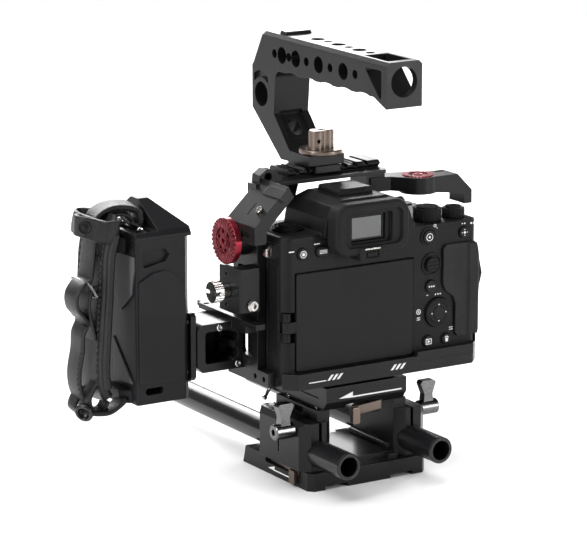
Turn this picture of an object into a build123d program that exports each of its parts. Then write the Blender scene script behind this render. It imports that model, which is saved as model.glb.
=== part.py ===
"""Cinema camera rig: a mirrorless camera in a half cage, on a quick-release rod base,
with a top handle and a strapped side handle.

Frame: origin at the middle of the base plate's underside, +X to the operator's right,
+Y along the lens axis (forward), +Z up. Millimetres.
"""
from build123d import *
from math import cos, pi, radians, sin
import os

# ---------------------------------------------------------------- driving dimensions
FIT = 0.05            # radial running clearance of shafts and rods
GAP = 0.3             # gap between pieces on different bodies
SEAT = 0.05           # clearance of a pressed or screwed piece in its seat
QUARTER_R, THREE_EIGHTHS_R = 2.55, 3.97            # tapping holes of the 1/4 in and 3/8 in threads

# base plate and rods
BASE_HALF, BASE_REAR, BASE_FRONT, BASE_TOP = 38.4, -34.0, 37.4, 10.0
DOVE_Z, DOVE_LOW, DOVE_HIGH = 6.0, 24.6, 21.0      # female dovetail: floor, half widths
LOCK_X, LOCK_Y, LOCK_PIN_R, LOCK_LOW, LOCK_HIGH = -33.0, 8.5, 1.5, 6.4, 8.6   # base lock lever and its pivot
ROD_R, ROD_WALL, ROD_X, ROD_Z = 7.5, 1.9, 30.0, 20.0
ROD_REAR, ROD_LENGTH = -60.0, 200.0
TOWER_IN, TOWER_OUT, TOWER_REAR, TOWER_FRONT = 21.0, 41.0, -31.0, 20.0
EAR_TOP, TOWER_TOP = 37.5, 43.0
CLAMP_Y, CLAMP_Z, CLAMP_SHAFT_R = -20.0, 33.0, 2.2

# quick release
QR_HALF_X, QR_HALF_Y, QR_LOW, QR_TOP = 26.2, 31.0, 43.0, 56.2
QR_FLOOR, QR_DOVE_LOW, QR_DOVE_HIGH = 49.0, 23.0, 19.0
LATCH_X, LATCH_Y = 9.0, -25.4                      # pivot of the quick-release lever

# cage
CAGE_L, CAGE_R, CAGE_REAR, CAGE_FRONT = -50.5, 75.5, -31.0, 30.0
CAGE_LOW, CAGE_FLOOR, CAGE_LIP, CAGE_STEP = 57.6, 63.0, 66.4, 34.0
SCREW_X, SCREW_R = 9.0, 2.0                        # quick-release plate screws
PLATE_LOW, PLATE_TOP = 163.6, 165.6                # cage top plate
PLATE_L, PLATE_R, PLATE_REAR, PLATE_FRONT = -44.5, 37.5, 5.0, 40.0
NATO_REAR, NATO_WIDTH, NATO_H = 12.6, 21.0, 4.2
NATO_L, NATO_R = -23.0, 36.5

# camera
CAM_L, CAM_R, CAM_REAR, CAM_SPLIT, CAM_FRONT = -50.3, 76.5, -26.0, -2.0, 18.0
CAM_LOW, CAM_SHOULDER, DECK, HUMP_TOP = 63.0, 137.5, 142.0, 159.8
WALL, CORNER_R = 2.0, 4.5
LENS_Z, THROAT_R, MOUNT_R, FLANGE_Y, SENSOR_Y = 110.0, 23.05, 30.0, 24.0, 6.0
GRIP_IN, GRIP_FRONT, GRIP_TOP = 49.0, 42.7, 135.0
PANEL_L, PANEL_R, PANEL_LOW, PANEL_HIGH = -42.5, 33.0, 67.0, 121.4
PANEL_REAR, PANEL_THICK = -27.0, 5.6
HINGE_X, HINGE_Y, HINGE_R, HINGE_PIN = -47.5, -24.0, 2.4, 1.25
HINGE_LOW, HINGE_HIGH, EAR = 84.0, 100.0, 4.5
EYE_Z, EYE_REAR = 143.5, -38.5

# top handle
TH_HALF, TH_TOP, TH_LOW = 11.4, 240.0, 219.5
TH_REAR, TH_FRONT = -65.5, 71.2
FOOT_REAR, FOOT_LOW, FOOT_TOP = 10.6, 171.0, 176.6
KNOB_Y = 16.5

# side handle
SH_L, SH_R, SH_REAR, SH_FRONT = -122.0, -88.0, 8.0, 52.0
SH_LOW, SH_SHOULDER, SH_CAP = 51.4, 142.0, 160.0
STRAP_Y0, STRAP_Y1, STRAP_T = 15.0, 47.0, 4.0
CAP_STEP_X, STRAP_BAR_X = -107.5, -114.0           # inner side of the cap's pocket, strap bar in it
BRACKET_TOP, BED_REAR, BED_FRONT = 91.0, 14.0, 32.0

# controls: buttons, dials, openings that more than one piece has to share
DOOR_REAR, DOOR_FRONT, DOOR_LOW, DOOR_HIGH = -20.0, -9.5, 76.0, 126.0
DOOR_PIN_X, DOOR_PIN_Y, DOOR_PIN_R = CAM_L + 1.0, DOOR_FRONT - 1.2, 0.45
WIN_L, WIN_R, WIN_LOW, WIN_HIGH = -12.5, 9.0, 137.4, 151.0         # viewfinder opening
TOP_ROW_Z, CUSTOM_X, MENU_X = 132.2, -38.7, -26.0
JOY_X, JOY_Z, JOY_BALL_R = 45.4, 116.5, 1.2
WHEEL_X, WHEEL_Z, WHEEL_R, WHEEL_HUB_R = 49.8, 88.6, 8.3, 3.9
LOW_ROW_Z = 72.8
BUTTONS = {                                                        # name: x, z, radius
    "custom_button": (CUSTOM_X, TOP_ROW_Z, 3.2),
    "af_button": (43.3, TOP_ROW_Z, 4.0),
    "ael_button": (66.8, TOP_ROW_Z, 3.1),
    "fn_button": (44.9, 104.1, 3.4),
    "play_button": (43.3, LOW_ROW_Z, 3.3),
    "delete_button": (55.4, LOW_ROW_Z, 3.0),
}
WELL_GAP = 0.15                                                    # radial play of a button in its well
REAR_WELLS = [(x, z, r + WELL_GAP) for x, z, r in BUTTONS.values()]
REAR_WELLS += [(WHEEL_X, WHEEL_Z, WHEEL_R + GAP), (JOY_X, JOY_Z, 2.2)]
DIAL_DECK, DIAL_PIN_R = 138.8, 1.6                                 # lowered deck under the two top dials
MODE_DIAL = (50.0, -14.5, 7.9, 147.0)                              # x, y, radius, top
EXPOSURE_DIAL = (67.0, -15.5, 6.4, 145.4)
SHUTTER_X, SHUTTER_Y, SHUTTER_R = 65.0, 31.5, 5.6
FRONT_DIAL_X, FRONT_DIAL_Y, FRONT_DIAL_Z, FRONT_DIAL_PIN_R = 65.0, 37.4, 125.0, 1.5
RELEASE_X, RELEASE_Z, RELEASE_R = -34.0, 96.0, 5.0                 # lens release button
LEFT_RING_X, LEFT_RING_Y = -36.5, -7.0                             # stepped boss on the left shoulder

# top handle drillings: (y, radius)
SIDE_HOLE_Z = 229.0
SIDE_HOLES = [(47.1, 2.55), (39.3, 4.7), (32.1, 2.55), (24.9, 4.7), (13.8, 2.55), (1.4, 4.7), (-10.4, 2.55),
              (-23.4, 4.7), (-35.2, 2.55)]
TOP_HOLES = [(20.0, 3.97), (9.5, 2.55), (-1.0, 3.97), (-11.5, 2.55), (-22.0, 3.97), (-32.5, 2.55)]
SCALLOPS, SCALLOP_STEP, SCALLOP_R, SCALLOP_DEPTH = 5, 18.0, 22.4, 0.9


# ---------------------------------------------------------------- shape helpers
def box(x0, x1, y0, y1, z0, z1):
    centre = Pos((x0 + x1) / 2, (y0 + y1) / 2, (z0 + z1) / 2)
    return centre * Box(x1 - x0, y1 - y0, z1 - z0)


def rod_x(y, z, r, x0, x1):
    return Pos((x0 + x1) / 2, y, z) * Rot(0, 90, 0) * Cylinder(r, x1 - x0)


def rod_y(x, z, r, y0, y1):
    return Pos(x, (y0 + y1) / 2, z) * Rot(90, 0, 0) * Cylinder(r, y1 - y0)


def rod_z(x, y, r, z0, z1):
    return Pos(x, y, (z0 + z1) / 2) * Cylinder(r, z1 - z0)


def outline(points, radius=0.0):
    face = Polygon(*points, align=None)
    return fillet(face.vertices(), radius) if radius else face


def prism_x(points, x0, x1, radius=0.0):
    """Points are (y, z)."""
    return extrude(Plane.YZ.offset(x0) * outline(points, radius), x1 - x0, dir=(1, 0, 0))


def prism_y(points, y0, y1, radius=0.0):
    """Points are (x, z)."""
    return extrude(Plane.XZ.offset(-y0) * outline(points, radius), y1 - y0, dir=(0, 1, 0))


def prism_z(points, z0, z1, radius=0.0):
    """Points are (x, y)."""
    return extrude(Plane.XY.offset(z0) * outline(points, radius), z1 - z0, dir=(0, 0, 1))


def mirror_x(shape):
    return mirror(shape, about=Plane.YZ)


def rect(a0, a1, b0, b1):
    return [(a0, b0), (a1, b0), (a1, b1), (a0, b1)]


def knurled(radius, height, teeth, depth=0.5):
    """A disc about Z, from z=0, with straight ridges round its rim."""
    points = []
    for i in range(teeth):
        for part, r in ((0.0, radius - depth), (0.25, radius), (0.5, radius), (0.75, radius - depth)):
            turn = 2 * pi * (i + part) / teeth
            points.append((r * cos(turn), r * sin(turn)))
    return prism_z(points, 0, height)


def facing_rear(shape, x, y, z):
    """Puts a shape built along +Z from z=0 so that it grows towards -Y from (x, y, z)."""
    return Pos(x, y, z) * Rot(90, 0, 0) * shape


def facing_left(shape, x, y, z):
    """Puts a shape built along +Z from z=0 so that it grows towards -X from (x, y, z)."""
    return Pos(x, y, z) * Rot(0, -90, 0) * shape


# ---------------------------------------------------------------- base and rods
def base_plate():
    side = [(BASE_REAR, 0), (BASE_FRONT, 0), (BASE_FRONT - 2.8, BASE_TOP), (BASE_REAR, BASE_TOP)]
    body = prism_x(side, -BASE_HALF, BASE_HALF)
    body = chamfer(body.edges().filter_by(Axis.Z), 3.0)
    for x in (-28.7, 14.0):                                    # underside channels between the feet
        body -= box(x, x + 14.7, BASE_REAR - 1, BASE_FRONT + 1, -1, 2.2)
    channel = [(-DOVE_LOW, DOVE_Z), (DOVE_LOW, DOVE_Z), (DOVE_HIGH, BASE_TOP), (-DOVE_HIGH, BASE_TOP)]
    body -= prism_y(channel, TOWER_REAR, BASE_FRONT + 1)
    body -= box(-BASE_HALF - 1, -28.5, -22.5, 13.0, LOCK_LOW - GAP, LOCK_HIGH + GAP)  # slot of the lock lever
    body -= rod_z(0, 16, QUARTER_R, -1, DOVE_Z + 1)             # 1/4 in tripod thread
    body -= rod_z(0, -12, THREE_EIGHTHS_R, -1, DOVE_Z + 1)      # 3/8 in tripod thread
    pin = rod_z(LOCK_X, LOCK_Y, LOCK_PIN_R, LOCK_LOW - 2, LOCK_HIGH + 1)
    return body + pin


def base_lock_lever():
    arm = prism_z([(-30.6, 11.5), (-35.6, 11.5), (-37.6, -14.0), (-37.6, -20.5), (-35.0, -20.5)], LOCK_LOW,
                  LOCK_HIGH)
    tab = box(-40.9, -38.8, -21.0, -15.6, 1.6, 9.2)
    neck = box(-39.2, -36.4, -20.3, -16.2, LOCK_LOW, LOCK_HIGH)
    return arm + neck + tab - rod_z(LOCK_X, LOCK_Y, LOCK_PIN_R + FIT, 0, 12)


def clamp_tower():
    """Right-hand tower round one rod; the left one is its mirror image."""
    tower = box(TOWER_IN, TOWER_OUT, TOWER_REAR, TOWER_FRONT, BASE_TOP + GAP, EAR_TOP)
    tower = chamfer(tower.edges().filter_by(Axis.Z), 5.0)
    top_outer = tower.edges().filter_by(Axis.Y).group_by(Axis.X)[-1].sort_by(Axis.Z)[-1]
    tower = chamfer(top_outer, 3.0)
    web = prism_x(rect(TOWER_REAR + 5, TOWER_FRONT - 3, EAR_TOP - 1, TOWER_TOP), TOWER_IN, ROD_X - 1)
    web -= box(TOWER_IN - 1, ROD_X, -11.0, -2.5, EAR_TOP + 0.8, TOWER_TOP - 1.2)
    tower += web
    tower -= rod_y(ROD_X, ROD_Z, ROD_R + FIT, TOWER_REAR - 1, TOWER_FRONT + 1)
    tower -= box(ROD_X - 1, ROD_X + 1, TOWER_REAR - 1, TOWER_FRONT + 1, ROD_Z + ROD_R - 0.5, EAR_TOP + 1)
    tower -= box(ROD_X + 4, TOWER_OUT + 1, -5.6, -4.2, 17.0, 24.0)
    return tower - rod_x(CLAMP_Y, CLAMP_Z, CLAMP_SHAFT_R + FIT, TOWER_IN + 1.5, TOWER_OUT + 1)


def rod_clamp_body():
    foot_low, slope = DOVE_Z + GAP, (DOVE_LOW - DOVE_HIGH) / (BASE_TOP - DOVE_Z)
    low_half = DOVE_LOW - slope * GAP - GAP
    high_half = low_half - slope * (BASE_TOP + GAP - foot_low)
    foot = [(-low_half, foot_low), (low_half, foot_low), (high_half, BASE_TOP + GAP),
            (-high_half, BASE_TOP + GAP)]
    slab = box(-TOWER_IN - 2, TOWER_IN + 2, TOWER_REAR + 3, TOWER_FRONT, BASE_TOP + GAP, 13.8)
    slab += prism_y(foot, TOWER_REAR + GAP, TOWER_FRONT)
    for x in (-1, 1):                                          # ridges along the inner walls
        slab += rod_y(x * (TOWER_IN - 0.6), 14.6, 2.2, -24, 16)
    slab += box(15.2, 20.8, TOWER_REAR + 0.6, TOWER_REAR + 4, BASE_TOP + GAP, 13.0)
    return slab + clamp_tower() + mirror_x(clamp_tower())


def rod(side):
    tube = rod_y(side * ROD_X, ROD_Z, ROD_R, ROD_REAR, ROD_REAR + ROD_LENGTH)
    for end in (ROD_REAR, ROD_REAR + ROD_LENGTH):
        rim = tube.edges().filter_by(GeomType.CIRCLE).sort_by(lambda e: abs(e.center().Y - end))[0]
        tube = chamfer(rim, 0.6)
    return tube - rod_y(side * ROD_X, ROD_Z, ROD_R - ROD_WALL, ROD_REAR - 1, ROD_REAR + ROD_LENGTH + 1)


def clamp_lever():
    """Right-hand lever: screw, barrel and flared grip, turning about X."""
    seat = TOWER_OUT + GAP
    lever = rod_x(CLAMP_Y, CLAMP_Z, CLAMP_SHAFT_R, TOWER_IN + 2, seat + 1)
    lever += chamfer(rod_x(CLAMP_Y, CLAMP_Z, 4.4, seat, seat + 12.2).edges().filter_by(GeomType.CIRCLE), 0.6)
    grip = [(seat + 2.2, CLAMP_Z), (seat + 9.2, CLAMP_Z), (seat + 8.4, CLAMP_Z + 8),
            (seat + 10.6, CLAMP_Z + 14.4), (seat + 9.2, CLAMP_Z + 15.8), (seat + 1.6, CLAMP_Z + 15.8),
            (seat + 0.4, CLAMP_Z + 14.4), (seat + 3.0, CLAMP_Z + 8)]
    lever += prism_y(grip, CLAMP_Y - 2.4, CLAMP_Y + 2.4, 0.9)
    socket = extrude(Plane.YZ.offset(seat + 9.6) * Pos(CLAMP_Y, CLAMP_Z) * RegularPolygon(2.0, 6), 4)
    return lever - socket


def qr_receiver():
    section = [(-QR_HALF_Y, QR_TOP), (-QR_HALF_Y, QR_LOW + 5), (-QR_HALF_Y + 4, QR_LOW),
               (QR_HALF_Y - 4, QR_LOW), (QR_HALF_Y, QR_LOW + 5), (QR_HALF_Y, QR_TOP)]
    body = prism_x(section, -QR_HALF_X, QR_HALF_X)
    channel = [(-QR_DOVE_LOW, QR_FLOOR), (QR_DOVE_LOW, QR_FLOOR), (QR_DOVE_HIGH, QR_TOP - 1.5),
               (QR_DOVE_HIGH, QR_TOP + 1), (-QR_DOVE_HIGH, QR_TOP + 1), (-QR_DOVE_HIGH, QR_TOP - 1.5)]
    body -= prism_x(channel, -QR_HALF_X - 1, QR_HALF_X + 1)
    body -= box(-15, 15, -15, 15, QR_LOW - 1, QR_FLOOR + 1)    # weight-saving window
    body -= box(-11.8, 13.2, -QR_HALF_Y - 1, -21.2, QR_LOW - 1, QR_LOW + 2.0)
    body += rod_z(LATCH_X, LATCH_Y, 1.5, QR_LOW - 5.4, QR_LOW + 2.6)
    body += rod_z(LATCH_X, LATCH_Y, 2.8, QR_LOW - 5.4, QR_LOW - 4.4)
    return body - rod_x(14.0, 50.6, 1.4, -QR_HALF_X - 1, -QR_HALF_X + 1.7)


def qr_lock_lever():
    arm = prism_z([(12.0, -23.9), (6.4, -23.0), (-6.6, -27.0), (-9.8, -29.8), (-5.8, -31.4), (8.2, -28.4),
                   (12.0, -27.4)], QR_LOW - 4.0, QR_LOW + 1.0)
    tab = box(-10.2, -5.8, -33.4, -29.8, 34.4, QR_LOW + 0.6)
    tab = fillet(tab.edges().filter_by(Axis.Y), 0.8)
    return arm + tab - rod_z(LATCH_X, LATCH_Y, 1.5 + FIT, 30, 50)


def qr_plate():
    drop = (QR_DOVE_LOW - QR_DOVE_HIGH) / (QR_TOP - 1.5 - QR_FLOOR)
    low = QR_DOVE_LOW - GAP - drop * GAP
    knee = QR_TOP - 1.5 - GAP
    high = low - drop * (knee - QR_FLOOR - GAP)
    section = [(-low, QR_FLOOR + GAP), (low, QR_FLOOR + GAP), (high, knee), (high, CAGE_LOW),
               (-high, CAGE_LOW), (-high, knee)]
    plate = prism_x(section, -QR_HALF_X + 0.4, QR_HALF_X - 0.4)
    plate -= box(-14, 14, -6, 6, QR_FLOOR - 1, QR_FLOOR + 3.4)     # recess for the camera screw heads
    for x in (-SCREW_X, SCREW_X):
        plate -= rod_z(x, 0, SCREW_R + SEAT, QR_FLOOR, CAGE_LOW + 1)
    return plate


# ---------------------------------------------------------------- cage
def cage_base():
    plan = [(CAGE_L, -24.5), (CAGE_L + 6.6, CAGE_REAR), (CAGE_R - 5, CAGE_REAR), (CAGE_R, CAGE_REAR + 5),
            (CAGE_R, CAGE_FRONT - 12), (CAGE_R - 12, CAGE_FRONT), (CAGE_L + 8, CAGE_FRONT),
            (CAGE_L, CAGE_FRONT - 8)]
    plate = prism_z(plan, CAGE_LOW, CAGE_FLOOR, 1.5)
    lip = prism_z([(CAGE_L, -24.5), (CAGE_L + 6.6, CAGE_REAR), (CAGE_STEP, CAGE_REAR),
                   (CAGE_STEP, CAM_REAR - 0.2), (CAM_L + 3.4, CAM_REAR - 0.2), (CAGE_L, -22.9)], CAGE_LOW,
                  CAGE_LIP)
    step = prism_z([(CAGE_STEP, CAGE_REAR + 0.6), (CAGE_R - 4, CAGE_REAR + 0.6), (CAGE_R, CAGE_REAR + 4.6),
                    (CAGE_R, CAM_REAR + 1.6), (CAM_R - 3.6, CAM_REAR - 0.2), (CAGE_STEP, CAM_REAR - 0.2)],
                   CAGE_LOW + 0.8, 68.6)
    side = box(CAGE_L - 5.3, CAGE_L, -18.5, 24.0, CAGE_LOW + 0.4, CAGE_FLOOR + 3.0)
    body = plate + lip + step + side
    for y in (-14.0, -5.0):                                    # 1/4 in side holes
        body -= rod_x(y, CAGE_LOW + 4.4, 1.6, CAGE_L - 6, CAGE_L + 4)
    for x in (-30, 50):
        body -= rod_z(x, 0, QUARTER_R, CAGE_LOW - 1, CAGE_FLOOR + 1)
    for x in (22, 34, 62):
        body -= prism_z(rect(x - 3, x + 3, 6, 24), CAGE_LOW - 1, CAGE_FLOOR + 1, 2.5)
    for x in (-SCREW_X, SCREW_X):
        body -= rod_z(x, 0, SCREW_R + SEAT, CAGE_LOW - 1, CAGE_LOW + 4.0)
    body -= rod_z(0, 0, 5.5, CAGE_LOW - 1, CAGE_LOW + 2.4)
    return body - rod_z(0, 0, 3.175 + SEAT, CAGE_LOW - 1, CAGE_FLOOR + 1)


def cage_side_frame():
    """Left upright: strut, slanted shoulder plate and the end block that carries the rosette."""
    strut = box(-55.8, -51.0, -7.5, 18.0, CAGE_FLOOR + 3.0, 148.0)
    strut -= prism_x(rect(-2.5, 13.0, 72.0, 88.0), -57, -50, 2.0)
    strut -= prism_x(rect(1.5, 13.0, 100.0, 122.0), -57, -50, 2.0)
    shoulder = prism_y([(-43.6, 168.6), (-64.8, 148.4), (-64.8, 138.6), (-58.2, 138.6), (-57.4, 140.6),
                        (-57.4, 145.4), (-51.0, 152.0), (-40.2, 162.6)], -20.0, 10.0)
    shoulder += prism_y([(-50.4, 163.0), (-46.0, 167.3), (-43.0, 164.4), (-47.4, 160.1)], -22.0, -4.0)
    bridge = box(-62.0, -51.0, -7.5, 10.0, 138.6, 150.0)
    boss = rod_x(6.0, 137.0, 9.0, -65.2, -51.0)
    frame = strut + shoulder + bridge + boss
    cheek = prism_y([(-46.6, 164.0), (-46.0, 170.4), (-41.5, 173.4), (-36.5, 172.6), (-31.6, PLATE_TOP + 2.6),
                     (-31.6, PLATE_TOP), (PLATE_L, PLATE_TOP)], 6.0, 14.0, 0.6)
    frame += cheek
    frame += box(-49.0, PLATE_L, 5.0, 14.0, 160.6, 166.0)
    pit = rod_y(-40.6, 169.2, 2.4, 0.0, 11.0)
    lower_slot = box(-66, -63.2, -15.0, -5.0, 141.0, 144.6)
    slit = Pos(-57.6, -5.0, 155.6) * Rot(0, -43.6, 0) * Box(8.5, 1.1, 12)
    hole = Pos(-57.6, -13.5, 155.6) * Rot(0, -43.6, 0) * Cylinder(2.4, 12)
    frame -= box(PLATE_L, 0, PLATE_REAR, PLATE_FRONT, PLATE_LOW, PLATE_TOP)
    frame -= rod_y(-61.6, 103.6, 2.2, -13, -6)
    return frame - pit - lower_slot - slit - hole - rod_x(6.0, 137.0, 3.0, -66, -50)


def nato_section(grow=0.0):
    """Rail section in (y, z): bevelled head on a narrower neck."""
    rear, front = NATO_REAR - grow, NATO_REAR + NATO_WIDTH + grow
    neck, top, mid = PLATE_TOP + grow * 0.4, PLATE_TOP + NATO_H + grow, PLATE_TOP + 2.5
    return [(rear + 2.2, neck - 1.0 - grow), (front - 2.2, neck - 1.0 - grow), (front - 2.2, neck),
            (front, mid - 0.3), (front, mid + 0.2), (front - 1.7, top), (rear + 1.7, top), (rear, mid + 0.2),
            (rear, mid - 0.3), (rear + 2.2, neck)]


def cage_top_plate():
    plate = prism_z([(PLATE_L, PLATE_REAR), (PLATE_R - 2, PLATE_REAR), (PLATE_R, PLATE_REAR + 3),
                     (PLATE_R, PLATE_FRONT - 5), (PLATE_R - 5, PLATE_FRONT), (-23.0, PLATE_FRONT),
                     (PLATE_L, PLATE_REAR + 9.0)],
                    PLATE_LOW, PLATE_TOP)
    rail = prism_x(nato_section(), NATO_L, NATO_R)
    # front web
    plate += prism_y([(-38.0, PLATE_LOW), (-8.0, PLATE_LOW), (-12.0, 150.0), (-34.0, 150.0)], 25.0, 28.0)
    for x in (-17.5, -10.5, 13.5, 20.5, 27.5):                 # cross slots between the teeth
        rail -= box(x - 1.3, x + 1.3, 0, 40, PLATE_TOP + 1.6, PLATE_TOP + NATO_H + 1)
    for x in (-14.0, 17.0):
        rail -= rod_y(x, PLATE_TOP + NATO_H + 0.6, 1.7, 0, 40)
    rail = rail & box(NATO_L - 1, NATO_R + 1, 0, 60, PLATE_TOP, 200)
    body = plate + rail
    for x in (-16.0, 3.0):
        body -= rod_z(x, 36.6, 1.3, PLATE_LOW - 1, PLATE_TOP + 1)
        body -= rod_z(x, 36.6, 2.2 + SEAT, PLATE_TOP - 1.1, PLATE_TOP + 1)
    body -= prism_z(rect(8, 26, 34.6, 38.4), PLATE_LOW - 1, PLATE_TOP + 1, 1.5)
    return body


def cage_right_arm():
    """Arm over the right shoulder: neck under the top plate, round boss and chamfered end hook."""
    top = 161.4
    neck = prism_z([(26.0, 6.0), (26.0, 22.0), (40.0, 17.0), (56.0, 10.0), (56.0, -7.0), (46.0, -5.0),
                    (38.0, 4.0)], 153.4, top)
    riser = box(24.0, PLATE_R - 1.5, 7.0, 24.0, 157.0, PLATE_LOW)
    boss = rod_z(54.0, 0.6, 10.6, 152.0, top)
    hook = prism_y([(62.0, top), (74.6, top), (84.4, 151.4), (84.4, 143.8), (79.3, 143.8), (79.3, 149.6),
                    (70.0, 151.0), (58.0, 152.6), (58.0, top)], -8.6, 6.4)
    arm = neck + riser + boss + hook
    arm -= rod_z(54.0, 0.6, 9.4, top - 1.6, top + 1)
    arm -= prism_z(rect(66.0, 73.0, 1.4, 3.6), top - 1.2, top + 1, 0.8)
    arm -= rod_z(54.0, 0.6, 2.6, 150, top + 1)
    return arm


def rosette(radius, thickness, teeth=30, tooth=0.8):
    """Mounting disc about Z with radial teeth on its outer band and six holes round the hub."""
    upright = (Align.CENTER, Align.CENTER, Align.MIN)
    disc = Cylinder(radius, thickness - tooth, align=upright)
    disc += Cylinder(radius * 0.26, thickness, align=upright)
    for i in range(teeth):
        ridge = Pos(radius * 0.78, 0, thickness - tooth / 2) * Box(radius * 0.38, radius * 0.1, tooth)
        disc += Rot(0, 0, 360 * i / teeth) * ridge
    for i in range(6):
        disc -= Rot(0, 0, 60 * i + 15) * Pos(radius * 0.42, 0, 0) * Cylinder(radius * 0.11, 4 * thickness)
    return disc - Cylinder(radius * 0.13, 4 * thickness)


def rosettes():
    """Red toothed discs: a large one on the left end block and a small one on the arm."""
    return Compound(children=[facing_left(rosette(12.8, 4.2), -65.2, 6.0, 137.0),
                              Pos(54.0, 0.6, 159.8 + SEAT) * rosette(9.3, 2.2)])


def cable_clamp():
    """Clamp for the video cable: upright block, outer cheek plate and jaw."""
    block = box(-69.0, -56.0, -12.0, -1.2, 100.0, 124.0)
    block = chamfer(block.edges().filter_by(Axis.Z).group_by(Axis.Y)[0], 1.2)
    cheek = prism_x(rect(-8.0, 10.6, 98.6, 123.6), -69.0, -65.6, 1.0)
    foot = box(-66.0, -55.8, -1.2, 8.0, 98.6, 103.0)
    body = block + cheek + foot
    body -= rod_x(1.5, 110.6, 2.6 + FIT, -70, -60)
    for z in (102.2, 119.4):
        body -= rod_x(3.4, z, 1.1, -70, -64)
    return body - rod_y(-61.6, 103.6, 1.9, -13, -6)


def cable_clamp_knob():
    """Slotted thumb screw on a barrel, turning about X."""
    shaft = rod_x(1.5, 110.6, 2.6, -70.0, -58.0)
    barrel = rod_x(1.5, 110.6, 4.0, -74.4, -69.0 - GAP)
    head = facing_left(knurled(6.0, 5.2, 24, 0.35), -74.4, 1.5, 110.6)
    slot = box(-80.5, -77.2, -5.5, 8.5, 109.7, 111.5)
    return shaft + barrel + head - slot


def cage_screws():
    """Button-head screws of the clamp, shoulder plate, top plate and arm."""
    def screw(shank_r, shank, head_r, head):
        body = Pos(0, 0, -shank / 2) * Cylinder(shank_r, shank) + Pos(0, 0, head / 2) * Cylinder(head_r, head)
        body = chamfer(body.edges().filter_by(GeomType.CIRCLE).sort_by(Axis.Z)[-1], head * 0.4)
        return body - extrude(Plane.XY.offset(head * 0.3) * RegularPolygon(head_r * 0.5, 6), head)

    clamp = facing_rear(screw(1.9 - SEAT, 5.0, 3.4, 1.8), -61.6, -12.0, 103.6)
    shoulder = Pos(-57.6, -13.5, 155.6) * Rot(0, -43.6, 0) * Pos(0, 0, 1.2) * screw(2.4 - SEAT, 4.0,
                                                                                    2.4 - SEAT, 0.6)
    plates = [Pos(x, 36.6, PLATE_TOP - 1.1) * screw(1.3 - SEAT, 0.8, 2.2, 1.1) for x in (-16.0, 3.0)]
    camera = Pos(0, 0, CAGE_LOW + 2.3) * Rot(180, 0, 0) * screw(3.175, 7.5, 5.4, 2.2)
    release = [Pos(x, 0, QR_FLOOR + 3.4) * Rot(180, 0, 0) * screw(SCREW_R, 8.8, 3.6, 2.0) for x in (-SCREW_X,
                                                                                                    SCREW_X)]
    return Compound(children=[clamp, shoulder, camera] + plates + release)


# ---------------------------------------------------------------- camera
def camera_plan(inset=0.0):
    left, right = CAM_L + inset, CAM_R - inset
    rear, front = CAM_REAR + inset, CAM_FRONT - inset
    return [(left, rear + 3.5), (left + 3.5, rear), (right - 3.0, rear), (right, rear + 3.0), (right, front),
            (left + 6.0, front), (left, front - 5.0)]


def camera_rear_shell():
    half = box(-200, 200, -100, CAM_SPLIT, 0, 300)
    shell = (prism_z(camera_plan(), CAM_LOW, CAM_SHOULDER, CORNER_R) & half)
    shell -= prism_z(camera_plan(WALL), CAM_LOW + WALL, CAM_SHOULDER + 1) & half
    shell += rod_z(0, 0, 6.0, CAM_LOW, CAM_LOW + 6.0) & half
    shell -= rod_z(0, 0, 3.175 + SEAT, CAM_LOW - 1, CAM_LOW + 4.6)
    floor_y = PANEL_REAR + PANEL_THICK + GAP
    recess = box(PANEL_L - 0.9, PANEL_R + GAP + 0.2, CAM_REAR - 1, floor_y, PANEL_LOW - 0.5, PANEL_HIGH + 0.5)
    backing = box(PANEL_L - 3, PANEL_R + 3, floor_y - 1.5, floor_y + 1.6, PANEL_LOW - 3, PANEL_HIGH + 3)
    backing += box(36.5, 64.0, CAM_REAR + 1, -20.0, 66.0, 135.0)            # control panel block
    backing += box(-46.0, -22.0, CAM_REAR + 1, -20.0, 126.5, 135.5)
    shell = shell + backing - recess
    shell -= box(CAM_L - 1, PANEL_L - 0.1, CAM_REAR - 1, floor_y, HINGE_LOW - 0.5, HINGE_HIGH + 0.5)
    shell += box(CAM_L + 1.0, CAM_L + 4.0, DOOR_REAR - 1.0, DOOR_FRONT + 2, DOOR_LOW - 3, DOOR_HIGH + 3)
    shell -= box(CAM_L - 1, CAM_L + 1.5, DOOR_REAR - 0.3, DOOR_FRONT - 2.3, DOOR_LOW - 0.3, DOOR_HIGH + 0.3)
    shell -= box(CAM_L - 1, CAM_L + 2.3, DOOR_FRONT - 2.4, DOOR_FRONT + 0.3, DOOR_LOW - 0.3, DOOR_HIGH + 0.3)
    for z0, z1 in ((DOOR_LOW - 1, DOOR_LOW + 5), (DOOR_HIGH - 5, DOOR_HIGH + 1)):
        shell += rod_z(DOOR_PIN_X, DOOR_PIN_Y, DOOR_PIN_R, z0, z1)
    for x, z, r in REAR_WELLS:
        shell -= rod_y(x, z, r, CAM_REAR - 1, CAM_REAR + 3.4)
    shell -= facing_rear(Pos(0, 0, -3.4) * prism_z(rect(-4.3, 4.3, -2.9, 2.9), 0, 6, 2.8), MENU_X, CAM_REAR,
                         TOP_ROW_Z)
    return shell


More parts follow.
